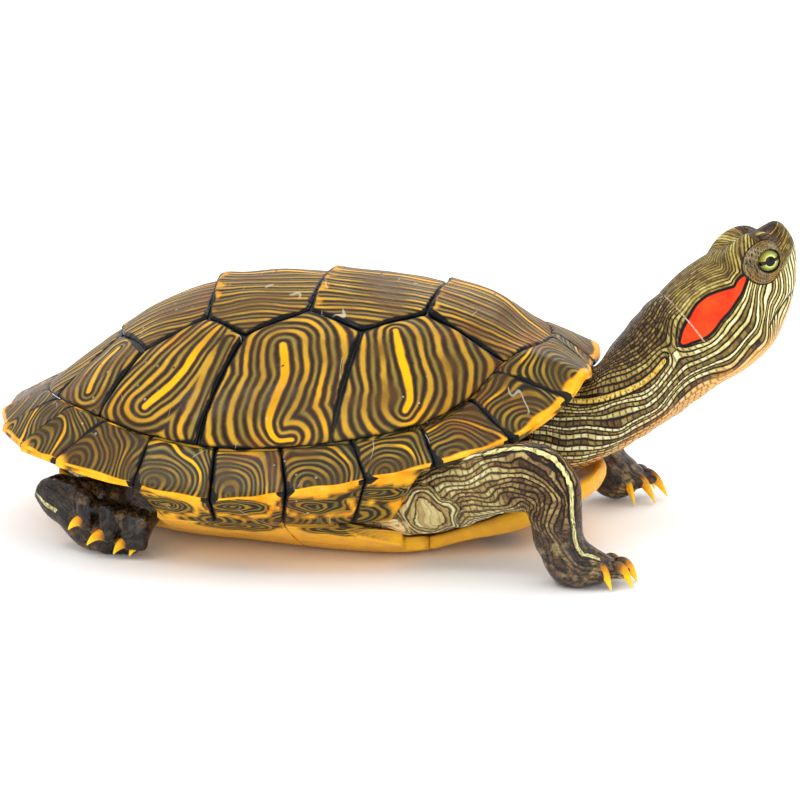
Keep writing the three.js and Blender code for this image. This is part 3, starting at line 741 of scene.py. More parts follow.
@dataclass(frozen=True)
class SkinFinish:
    """Damp scaly skin whose dark lines, scales and tints follow the mesh's own values.

    stripe counts the bands between dark lines, scale counts the scales along a band, tint is
    the band's lightness, gold and near are millimetres to the gold stripe and the ear patch.
    """

    name: str = "scaly_skin"
    line: str = "1d150c"
    gold: tuple = ((0.3, "e2b437"), (0.7, "efd67a"))
    gold_seam: str = "6a4510"
    cream: str = "efe39a"
    red: tuple = ((0.3, "f12b00"), (0.72, "ff4806"))
    red_edge: str = "120c08"
    streak: tuple = ((0.3, "ab8420"), (0.7, "d9bb4e"))
    knob: tuple = ((0.35, "8e5a2e"), (0.6, "c99a5c"))
    peach: str = "ffc78c"
    lips: str = "241a10"
    fold: str = "d8c8a8"
    palette: tuple = (
        (0.0, "0f0b08"), (0.18, "2c1f12"), (0.34, "5c4424"), (0.5, "8a7438"), (0.66, "b09a4c"),
        (0.82, "dccb7c"), (1.0, "faf0b8"))
    dull: tuple = (
        (0.0, "140d09"), (0.18, "302014"), (0.34, "63462c"), (0.5, "8e7246"), (0.66, "b09a60"),
        (0.82, "cfc088"), (1.0, "eee4b2"))
    fore_plates: tuple = ((0.36, "120c08"), (0.46, "3a2818"), (0.55, "76563a"), (0.65, "b39c64"))
    hind_plates: tuple = ((0.38, "060505"), (0.5, "1a140d"), (0.6, "3a2a18"), (0.7, "6d5434"))
    lid_grey: tuple = ((0.3, "3c3020"), (0.55, "7a6847"), (0.85, "a39270"))
    lid_ochre: tuple = ((0.3, "4f3515"), (0.55, "9a7132"), (0.85, "c79a48"))
    lid_roof: str = "3a2b18"
    lid_freckle: str = "15100b"
    lid_line: str = "2c2117"
    lash: str = "15120e"
    # Lightness of the bands below and above the ear patch, counted away from it.
    below: tuple = (
        0.5, 0.8, 0.88, 0.5, 0.84, 0.42, 1.0, 0.5, 0.86, 0.36, 0.9, 0.5, 0.86, 0.5, 0.85, 0.7)
    above: tuple = (
        0.56, 0.68, 0.62, 0.46, 0.54, 0.42, 0.5, 0.4, 0.47, 0.4, 0.46, 0.38, 0.45, 0.38, 0.43, 0.38)

    def steps(self, p: Paint, value: Socket, levels: Sequence[float]) -> Socket:
        """The level of each whole number from 0 up.

        Args:
            p: the paint to add to.
            value: the number to look up.
            levels: one grey level per whole number.

        Returns:
            The level as a grey.
        """
        count = len(levels)
        stops = [(k / count, (level, level, level)) for k, level in enumerate(levels)]
        return p.ramp(p.math("DIVIDE", value, float(count)), stops, "CONSTANT")

    def chart(self, p: Paint) -> SkinChart:
        """Works out the chart from the mesh's values, with uneven edges.

        Args:
            p: the paint to add to.

        Returns:
            The chart.
        """
        waves = p.jitter(260.0, 2.0, 0.9)
        stripe = p.math("MULTIPLY_ADD", waves, p.value("limb"), p.value("stripe"))
        stripe = p.plus(stripe, p.jitter(500.0, 3.0, 0.34))
        index = p.math("FLOOR", stripe)
        shift = p.plus(p.random(index, 0.5), p.jitter(350.0, 2.0, 0.5))
        scale = p.plus(p.value("scale"), shift)
        lengthwise = p.times(p.math("PINGPONG", scale, 0.5), 2.0)
        ripple = p.math("MULTIPLY_ADD", p.noise(260.0, 3.0), 1.3, p.times(p.value("lid"), 4.2))
        return SkinChart(
            stripe=stripe,
            scale_tone=p.random(index, p.math("FLOOR", scale)),
            across=p.times(p.math("PINGPONG", stripe, 0.5), 2.0),
            lengthwise=lengthwise,
            seams=p.times(p.between(0.22, 0.08, lengthwise), p.value("scaly")),
            joints=p.cells(420.0, "DISTANCE_TO_EDGE"),
            rings=p.math("PINGPONG", ripple, 0.5),
        )

    def bands(self, p: Paint, at: SkinChart) -> Socket:
        """The bands with their scales and the dark lines between them.

        Args:
            p: the paint to add to.
            at: the chart.

        Returns:
            The colour.
        """
        above, below = (self.steps(p, at.stripe, levels) for levels in (self.above, self.below))
        levels = p.blend(p.value("under"), above, below)
        even = p.value("even")
        plain = p.times(levels, p.math("SUBTRACT", 1.0, even))
        level = p.math("MULTIPLY_ADD", even, 0.86, plain)
        level = p.plus(level, p.value("tint"))
        level = p.plus(level, p.math("MULTIPLY_ADD", at.scale_tone, 0.26, -0.13))
        level = p.plus(level, p.jitter(900.0, 3.0, 0.3))
        rich, dull = p.ramp(level, self.palette), p.ramp(level, self.dull)
        colour = p.blend(p.value("wan"), rich, dull)
        colour = p.blend(p.value("warm"), colour, self.peach, "MULTIPLY")
        colour = p.blend(p.times(at.seams, 0.7), colour, self.line)
        lines = p.times(p.between(0.46, 0.24, at.across), p.value("lined"))
        return p.blend(lines, colour, self.line)

    def feet(self, p: Paint, at: SkinChart, colour: Socket) -> Socket:
        """The colour with mottled plates on the feet, brown in front and black behind.

        Args:
            p: the paint to add to.
            at: the chart.
            colour: the colour under it.

        Returns:
            The new colour.
        """
        mottle = p.plus(p.times(p.cell_tone(420.0), 0.4), p.times(p.noise(300.0, 4.0), 0.6))
        hind = p.value("hind")
        plates = p.blend(hind, p.ramp(mottle, self.fore_plates), p.ramp(mottle, self.hind_plates))
        plates = p.blend(p.times(p.between(0.14, 0.05, at.joints), 0.7), plates, self.line)
        share = p.times(p.value("foot"), p.math("MULTIPLY_ADD", hind, 0.4, 0.5))
        return p.blend(share, colour, plates)

    def marks(self, p: Paint, at: SkinChart, colour: Socket) -> Socket:
        """The colour with gold stripes, knobs, snout stripes, ear patch and mouth line.

        Args:
            p: the paint to add to.
            at: the chart.
            colour: the colour under it.

        Returns:
            The new colour.
        """
        gold = p.value("gold")
        colour = p.blend(p.between(0.75, 0.35, gold), colour, self.line)
        shade = p.blend(p.value("limb"), p.ramp(p.noise(420.0, 3.0), self.gold), self.cream)
        shade = p.blend(p.times(at.seams, 0.6), shade, self.gold_seam)
        colour = p.blend(p.between(0.1, -0.2, gold), colour, shade)
        knob = p.ramp(p.noise(500.0, 3.0), self.knob)
        colour = p.blend(p.between(1.7, 1.2, p.value("knob")), colour, knob)
        nose = p.value("nose")
        colour = p.blend(p.times(p.between(0.42, 0.2, nose), 0.6), colour, self.line)
        streak = p.ramp(p.noise(420.0, 3.0), self.streak)
        colour = p.blend(p.between(0.1, -0.15, nose), colour, streak)
        near = p.value("near")
        colour = p.blend(p.between(0.98, 0.62, near), colour, self.red_edge)
        colour = p.blend(p.between(0.12, -0.25, near), colour, p.ramp(p.noise(260.0, 4.0), self.red))
        return p.blend(p.between(0.42, 0.15, p.value("mouth")), colour, self.lips)

    def lids(self, p: Paint, at: SkinChart, colour: Socket) -> Socket:
        """The colour with ringed and freckled eyelids and the pale fold of the nape.

        Args:
            p: the paint to add to.
            at: the chart.
            colour: the colour under it.

        Returns:
            The new colour.
        """
        lid, lane = p.value("lid"), p.value("lane")
        mottle = p.plus(p.times(at.rings, 0.5), p.noise(420.0, 4.0))
        grey, ochre = p.ramp(mottle, self.lid_grey), p.ramp(mottle, self.lid_ochre)
        skin = p.blend(p.between(0.42, 0.62, p.noise(190.0, 2.0)), grey, ochre)
        skin = p.blend(p.times(p.between(8.0, 11.5, lane), 0.6), skin, self.lid_roof)
        dots = p.between(0.3, 0.2, p.cells(900.0, "F1"))
        freckles = p.times(dots, p.between(0.5, 0.6, p.noise(300.0, 2.0)))
        skin = p.blend(p.times(freckles, p.between(5.0, 8.0, lane)), skin, self.lid_freckle)
        colour = p.blend(p.between(1.06, 0.94, lid), colour, skin)
        edge = p.math("ABSOLUTE", p.math("SUBTRACT", lid, 1.03))
        colour = p.blend(p.between(0.1, 0.03, edge), colour, self.lid_line)
        colour = p.blend(p.between(0.11, 0.03, lid), colour, self.lash)
        fold = p.times(p.between(0.32, 0.1, p.value("fold")), 0.75)
        return p.blend(fold, colour, self.fold)

    def relief(self, p: Paint, at: SkinChart) -> Socket:
        """Domed scales, plates and lumps on the feet, beads on the gold stripe and fine grain.

        Args:
            p: the paint to add to.
            at: the chart.

        Returns:
            The normal.
        """
        foot, scaly = p.value("foot"), p.value("scaly")
        smooth_share = p.math("SUBTRACT", 1.0, scaly)
        dome = p.math("MULTIPLY_ADD", p.between(0.0, 0.5, at.lengthwise), scaly, smooth_share)
        normal = p.bump(p.times(p.between(0.0, 0.75, at.across), dome), 0.00046)
        normal = p.bump(p.times(p.between(0.0, 0.3, at.joints), foot), 0.0004, normal)
        normal = p.bump(p.times(p.noise(330.0, 3.0), foot), 0.0022, normal)
        gold = p.between(0.2, -0.7, p.value("gold"))
        normal = p.bump(p.times(gold, p.between(0.0, 0.5, at.lengthwise)), 0.0005, normal)
        normal = p.bump(p.cells(1100.0, "F1"), 0.00012, normal)
        return p.bump(p.times(at.rings, p.between(1.1, 0.9, p.value("lid"))), 0.0003, normal)

    def build(self) -> bpy.types.Material:
        """The skin's material.

        Returns:
            The finished material.
        """
        p = Paint(self.name)
        at = self.chart(p)
        colour = self.lids(p, at, self.marks(p, at, self.feet(p, at, self.bands(p, at))))
        rough = p.math("MULTIPLY_ADD", p.noise(160.0, 4.0), 0.3, 0.26)
        wet = p.math("MULTIPLY_ADD", p.value("foot"), 0.45, 0.08)
        return p.finish(Base_Color=colour, Roughness=rough, Normal=self.relief(p, at), Coat_Weight=wet,
                        Coat_Roughness=0.14, Specular_IOR_Level=0.14, Subsurface_Weight=0.03)


@dataclass(frozen=True)
class EyeFinish:
    """A wet eye: black pupil, yellow and green iris with a dark bar, dark white of the eye."""

    name: str = "wet_eye"
    pupil: float = 1.3
    iris: float = 2.8
    bar_tilt: float = 22.0
    bar_taper: float = 0.09
    reach: float = 3.2
    rings: tuple = (
        (0.0, "f4ee9a"), (0.42, "f2ec98"), (0.52, "c4c048"), (0.64, "86964a"), (0.78, "74895a"),
        (0.86, "3f5434"), (0.95, "11150e"))
    mustard: str = "9c8a1c"
    bar: str = "14150c"
    black: str = "020203"
    white: str = "0c0d0a"

    def build(self) -> bpy.types.Material:
        """The eye's material.

        Returns:
            The finished material.
        """
        p = Paint(self.name)
        radius, above, ahead = p.value("radius"), p.value("above"), p.value("ahead")
        away = p.plus(radius, p.jitter(1800.0, 3.0, 0.5))
        iris = p.ramp(p.math("DIVIDE", away, self.reach), self.rings)
        upper = p.math("SUBTRACT", above, p.times(ahead, 0.8))
        iris = p.blend(p.times(p.between(0.4, 2.6, upper), 0.65), iris, self.mustard)
        tilt = math.radians(self.bar_tilt)
        level = p.times(above, math.cos(tilt))
        bar = p.math("ABSOLUTE", p.math("MULTIPLY_ADD", ahead, math.sin(tilt), level))
        bar = p.math("SUBTRACT", bar, p.times(radius, self.bar_taper))
        bar = p.plus(bar, p.jitter(1500.0, 3.0, 0.3))
        bar = p.times(p.between(0.42, 0.2, bar), p.between(2.9, 2.6, radius))
        colour = p.blend(bar, iris, self.bar)
        colour = p.blend(p.between(self.pupil + 0.08, self.pupil - 0.05, radius), colour, self.black)
        colour = p.blend(p.between(self.iris - 0.12, self.iris + 0.05, radius), colour, self.white)
        return p.finish(Base_Color=colour, Roughness=0.12, Coat_Weight=0.4, Coat_Roughness=0.02,
                        Specular_IOR_Level=0.1)


@dataclass(frozen=True)
class ClawFinish:
    """Yellow horn, brown at the root."""

    name: str = "claw_horn"
    shades: tuple = (
        (0.0, "2c1c0c"), (0.2, "7a4f10"), (0.42, "d98e00"), (0.7, "ffbf00"), (1.0, "ffd92a"))

    def build(self) -> bpy.types.Material:
        """The claws' material.

        Returns:
            The finished material.
        """
        p = Paint(self.name)
        colour = p.ramp(p.plus(p.value("far"), p.jitter(700.0, 3.0, 0.3)), self.shades)
        normal = p.bump(p.noise(900.0, 3.0), 0.00015)
        return p.finish(Base_Color=colour, Roughness=0.25, Normal=normal, Coat_Weight=0.2,
                        Coat_Roughness=0.08, Specular_IOR_Level=0.2)


# ------------------------------------------------------------------ shell


@dataclass(frozen=True)
class Oval:
    """A superellipse seen from above, with its own length and power front and rear."""

    front: float
    rear: float
    side: float
    front_power: float
    rear_power: float


@dataclass(frozen=True)
class ShellForm:
    """The shell's driving dimensions and the surfaces that follow from them."""

    egg: float = 0.07
    rim: Oval = Oval(80.4, 79.0, 61.0, 1 / 1.1, 1 / 1.1)
    seam: Oval = Oval(66.5, 67.5, 53.0, 1.0, 1 / 1.1)
    notch_depth: float = 4.0
    notch_half_width: float = 13.0
    rim_height: Curve = Curve((
        (0, 44.2), (8, 44.5), (14, 45.2), (18, 45.4), (21, 43.6), (26, 40.9), (35, 36.8), (43, 33.4),
        (59.4, 29.2), (72, 25.9), (85, 23), (96, 20.5), (110, 23), (129, 25.8), (142, 26.9),
        (156, 28.3), (168, 29.4), (180, 29.6)))
    seam_height: Curve = Curve((
        (-67.5, 36), (-62, 37.2), (-57, 37.4), (-46, 36.3), (-30, 33), (-10, 30.8), (7, 31.5),
        (23, 33), (39, 35.8), (46, 38.8), (50.2, 41.6), (53.5, 45.2), (56.8, 49), (61, 51.6),
        (66.5, 51.8)))
    ridge_height: Curve = Curve((
        (-67.5, 36), (-60, 41.6), (-50, 49), (-36, 57.9), (-22, 62.8), (-7, 65.7), (7, 66),
        (22, 66), (38, 64.2), (46, 63), (53, 60.3), (60, 54.9), (66.5, 50.7)))
    dome_power: float = 0.75
    wall_slope: float = 1.2
    belly_height: Curve = Curve((
        (-67.5, 13), (-55, 8), (-40, 3), (-25, 0.5), (-14, 0), (28, 0), (35, 0.2), (42, 1.2),
        (55, 4.4), (70, 9.6), (81, 15.5)))
    belly_flat: Curve = Curve((
        (-67.5, 9), (-40, 18), (-10, 22), (8, 27), (26, 29), (40, 26), (60, 15), (81, 5)))
    belly_rise: float = 12.7
    belly_reach: float = 52.0
    belly_power: float = 1.5
    rim_blotches: tuple = ((-23.0, 17.8), (-4.2, 18.4), (14.4, 18.5), (29.2, 22.0))
    wing_blotches: tuple = ((-6.0, 11.0), (19.0, 11.2))

    def oval_point(self, oval: Oval, degrees: Array) -> Array:
        """Plan points of a superellipse: each axis is a power of the angle's cosine or sine.

        Args:
            oval: the superellipse.
            degrees: angles from the front, negative on the right side.

        Returns:
            One (x, y) row per angle.
        """
        turn = np.radians(np.asarray(degrees, float))
        c, s = np.cos(turn), np.sin(turn)
        length = np.where(c > 0, oval.front, oval.rear)
        power = np.where(c > 0, oval.front_power, oval.rear_power)
        x = length * np.sign(c) * np.abs(c) ** power
        y = oval.side * np.sign(s) * np.abs(s) ** power * (1 - self.egg * c)
        return np.stack([x, y], axis=-1)

    def field_width(self, x: Array) -> Array:
        """Half width of the field of big shields at x.

        Args:
            x: places along the body.

        Returns:
            One half width per place.
        """
        x = np.asarray(x, float)
        length = np.where(x > 0, self.seam.front, self.seam.rear)
        power = np.where(x > 0, self.seam.front_power, self.seam.rear_power)
        c = np.sign(x) * np.clip(np.abs(x) / length, 0, 1) ** (1 / power)
        return self.seam.side * np.sqrt(1 - c * c) ** power * (1 - self.egg * c)

    def dome(self, x: Array, y: Array) -> Array:
        """Height of the dome: from the seam up to the ridge as a power of 1 - t squared.

        Args:
            x: places along the body.
            y: places across it.

        Returns:
            One height per place.
        """
        t = np.clip(np.abs(y) / np.maximum(self.field_width(x), 0.5), 0, 1)
        low = self.seam_height(x)
        return low + (self.ridge_height(x) - low) * (1 - t * t) ** self.dome_power

    def dome_normal(self, x: Array, y: Array) -> Array:
        """Outward normals of the dome, with steep walls held back to a set slope.

        Args:
            x: places along the body.
            y: places across it.

        Returns:
            One unit vector per place.
        """
        d, steep = 0.4, self.wall_slope
        dx = np.clip((self.dome(x + d, y) - self.dome(x - d, y)) / (2 * d), -steep, steep)
        dy = np.clip((self.dome(x, y + d) - self.dome(x, y - d)) / (2 * d), -steep, steep)
        return unit(np.stack([-dx, -dy, np.ones_like(dx)], axis=-1))

    def on_dome(self, plan: Array) -> Array:
        """Plan points lifted onto the dome."""
        return np.column_stack([plan, self.dome(plan[:, 0], plan[:, 1])])

    def side_blotch(self, points: Array, blotches: Sequence[tuple[float, float]]) -> Array:
        """How far points lie from the middles of long dark blotches, given as (x, z).

        Args:
            points: positions, one per row.
            blotches: the middles.

        Returns:
            One distance per point, large near the middle line.
        """
        x, z = points[:, 0], points[:, 2]
        ends = [np.hypot((x - at) / 3.1, 1.2 * (z - height)) for at, height in blotches]
        return np.min(ends, axis=0) + 0.5 * wander(points, 9.0, 77) + 9.0 * (np.abs(points[:, 1]) < 40)

    def belly(self, x: Array, y: Array) -> Array:
        """Height of the breastplate's underside: flat in the middle, rising to its sides.

        Args:
            x: places along the body.
            y: places across it.

        Returns:
            One height per place.
        """
        flat = self.belly_flat(x)
        t = np.clip((np.abs(y) - flat) / (self.belly_reach - flat), 0, 1.2)
        return np.maximum(0.0, self.belly_height(x)) + self.belly_rise * t**self.belly_power


@dataclass(frozen=True)
class ShieldPlan:
    """One big shield of the back: its plan corners, its pattern's guides and its rear lip."""

    name: str
    outline: Array
    guides: tuple[tuple[tuple[float, float], ...], ...]
    period: float
    lip: float = 0.0
    flow: float = 0.22
    seed: int = 1
    bar: float = 1.0


@dataclass
class BackShields:
    """The five vertebral and eight costal shields, each laid on the dome.

    A shield is a grid of rings about its middle. Its height over the dome is a slight swell,
    growth ridges, a worn rear lip on the vertebrals and a rounded edge that drops to the seam.
    """

    form: ShellForm
    rings: int = 46
    around: int = 210
    gap: float = 0.22
    swell: float = 0.5
    thickness: float = 1.5
    edge_drop: float = 0.45
    edge_width: float = 1.0
    lip_half_width: float = 22.0
    lip_power: float = 5.0
    bar_half: float = 0.45
    ridge_seams: tuple = (
        (38.4, (36, 18.7)), (7.4, (6.7, 22.9)), (-21.8, (-19.8, 23.8)), (-49.7, (-45.4, 14.5)))
    side_corners: tuple = ((21.3, 28.5), (-8.1, 31.9), (-34.5, 31.3))
    side_tones: tuple = (0.9, 1.0, 0.95, 0.45)
    seam_angles: tuple = (30.5, 74.5, 101.3, 127.6, 148)
    rear_lips: tuple = (2.2, 2.2, 2.8, 1.2, 0.0)
    # Bright bars of each costal, as plan points (x, distance from the middle line).
    bars: tuple = (
        (((29.6, 27.0), (32.0, 33.0), (34.4, 37.0), (35.4, 39.6), (34.6, 41.5)),),
        (((2.6, 35.0), (4.6, 41.8), (3.2, 46.4), (2.2, 50.0), (4.4, 51.8), (8.4, 51.4)),),
        (((-14.8, 28.0), (-18.8, 34.6), (-22.8, 42.0), (-30.0, 46.4)),
         ((-11.2, 33.0), (-14.8, 45.6), (-19.8, 58.0))),
        (((-43.0, 25.0), (-46.2, 31.5), (-47.0, 38.0)),),
    )

    def along_seam(self, start: float, end: float) -> Array:
        """Points of the inner seam between two angles, ends included."""
        return self.form.oval_point(self.form.seam, np.linspace(start, end, 60))

    def vertebral_outline(self, index: int) -> Array:
        """Plan outline of vertebral 1 to 5, counted from the neck.

        Args:
            index: 0 to 4, counted from the neck.

        Returns:
            Plan points, one per row.
        """
        flip = np.array([1.0, -1.0])
        angle = self.seam_angles[0] if index == 0 else self.seam_angles[4]
        if index == 0:
            middle, corner = self.ridge_seams[0]
            rear = [corner, (middle, 0), np.array(corner) * flip]
            return np.vstack([self.along_seam(-angle, angle), rear])
        if index == 4:
            middle, corner = self.ridge_seams[3]
            front = [np.array(corner) * flip, (middle, 0), corner]
            return np.vstack([self.along_seam(angle, 360 - angle), front])
        (front, front_corner), (rear, rear_corner) = self.ridge_seams[index - 1:index + 1]
        left = np.array([front_corner, self.side_corners[index - 1], rear_corner], float)
        return np.vstack([[(front, 0)], left, [(rear, 0)], (left * flip)[::-1]])

    def costal_outline(self, index: int) -> Array:
        """Plan outline of costal 1 to 4 on the left.

        Args:
            index: 0 to 3, counted from the neck.

        Returns:
            Plan points, one per row.
        """
        behind = [self.side_corners[index]] if index < 3 else []
        ahead = [self.side_corners[index - 1]] if index > 0 else []
        ridge = behind + [self.ridge_seams[index][1]] + ahead
        return np.vstack([self.along_seam(*self.seam_angles[index:index + 2]), ridge])

    def plans(self) -> Iterable[ShieldPlan]:
        """The plans of all thirteen shields.

        Returns:
            One plan after another.
        """
        for i in range(5):
            outline = self.vertebral_outline(i)
            reach = (float(outline[:, 0].min()) - 20, float(outline[:, 0].max()) + 20)
            keel = (((reach[0], 0.0), (reach[1], 0.0)),)
            name = f"vertebral_{i + 1}"
            yield ShieldPlan(name, outline, keel, period=2.8, lip=self.rear_lips[i], flow=0.18,
                             seed=20 + i, bar=0.6)
        for side in Side:
            flip = np.array([1.0, side.value])
            for i in range(4):
                guides = tuple(tuple((x, side.value * y) for x, y in bar) for bar in self.bars[i])
                name = f"costal_{side.name.lower()}_{i + 1}"
                outline = self.costal_outline(i) * flip
                yield ShieldPlan(name, outline, guides, period=5.2, seed=40 + i,
                                 bar=self.side_tones[i])

    def eased(self, guide: Sequence) -> Array:
        """A guide's plan points joined by a smooth curve."""
        rows = tuple((float(i), *point) for i, point in enumerate(guide))
        return Curve(rows)(np.linspace(0, len(rows) - 1, 8 * len(rows)))

    def whorls(self, plan: ShieldPlan, top: Array, edge: Array) -> tuple[Array, Array]:
        """Counts the lines outwards from the shield's guides.

        The count is a blend of the distance in periods and of a share of the way to the edge,
        so that the lines close up round the bars and follow the outline further out.

        Args:
            plan: the shield's plan.
            top: points on the dome.
            edge: millimetres from each to the shield's outline.

        Returns:
            The count of lines, and the distance to the first guide.
        """
        lit, *rest = [distance_to_path(top, self.form.on_dome(self.eased(g))) for g in plan.guides]
        near = np.min([lit] + [other + 0.3 * plan.period for other in rest], axis=0)
        drift = wander(top, 14.0, plan.seed) * 0.4 + wander(top, 5.0, plan.seed + 100) * 0.05
        nested = 4.4 * near / (near + edge + 1.5)
        whorl = mix(near / plan.period, nested, plan.flow) + 0.22 * drift * smooth(0.5, 4, near)
        return np.maximum(whorl - self.bar_half / plan.period, 0.0), lit

    def shape(self, plan: ShieldPlan) -> Surface:
        """The shield's closed surface with its pattern values.

        Args:
            plan: the shield's plan.

        Returns:
            The surface: rings from the middle out, over the edge and back underneath.
        """
        outline = inset(rounded(resample(plan.outline, self.around), 3), self.gap)
        middle = outline.mean(axis=0)
        share = 1 - (1 - np.linspace(0.02, 1, self.rings)) ** 1.35
        flat = middle + share[:, None, None] * (outline - middle)
        xy = flat.reshape(-1, 2)
        f = np.repeat(share, self.around)
        top = self.form.on_dome(xy)
        edge_line = self.form.on_dome(np.vstack([outline, outline[:1]]))
        edge = distance_to_path(top, edge_line[::2])
        whorl, lit = self.whorls(plan, top, edge)
        front, rear = xy[:, 0].max(), xy[:, 0].min()
        back = np.clip((front - xy[:, 0]) / (front - rear), 0, 1)
        centre = np.clip(1 - (xy[:, 1] / self.lip_half_width) ** 2, 0, 1)
        lift = self.swell * (1 - f * f) + plan.lip * back**self.lip_power * centre
        lift += 0.07 * np.cos(2 * math.pi * whorl) + 0.12 * wander(top, 14.0, plan.seed + 7)
        lift -= self.edge_drop * (1 - smooth(0.0, self.edge_width, edge)) ** 1.5
        normal = self.form.dome_normal(xy[:, 0], xy[:, 1])
        over = (top + lift[:, None] * normal).reshape(self.rings, self.around, 3)
        last = over[-1]
        under_normal = normal.reshape(self.rings, self.around, 3)[-1]
        skirt = last - under_normal * (self.thickness - 0.5)
        below = middle + 0.6 * (outline - middle)
        under = self.form.on_dome(below) - self.thickness * self.form.dome_normal(*below.T)
        rings = np.concatenate([over, skirt[None], under[None]])
        surface = closed_rings(rings)
        extra = len(surface.points) - len(xy)
        tone = 0.4 * plan.bar + 0.62 * bell(lit, 2.3 * plan.bar) + 0.12 * smooth(6, 0, np.abs(edge - 3))
        tone += 0.26 * wander(top, 16.0, plan.seed + 11)
        low = self.form.field_width(xy[:, 0]) - np.abs(xy[:, 1])
        seam = edge + 0.45 * smooth(3.0, 1.0, low)
        tone += 0.45 * bell(xy[:, 1], 2.0) * (plan.lip > 0)
        rear_edge = (back - 1) * (front - rear)
        worn = smooth(-2.6, -0.8, rear_edge + 1.4 * wander(top, 5.0, plan.seed + 17)) * centre**0.3
        worn = 0.6 * worn * (plan.lip > 0)
        surface.values = {
            "whorl": padded(whorl, extra, 0.3), "tone": padded(tone, extra, 0.0),
            "edge": padded(seam, extra, 0.0), "band": padded(worn, extra, 0.0),
            "blot": padded(0 * edge, extra, 1.0),
        }
        surface.values["edge"][-1] = 3.0
        return surface

    def build(self, material: bpy.types.Material) -> None:
        """Makes all thirteen shields."""
        for plan in self.plans():
            place(self.shape(plan), f"shield_{plan.name}", material, [plan.name])


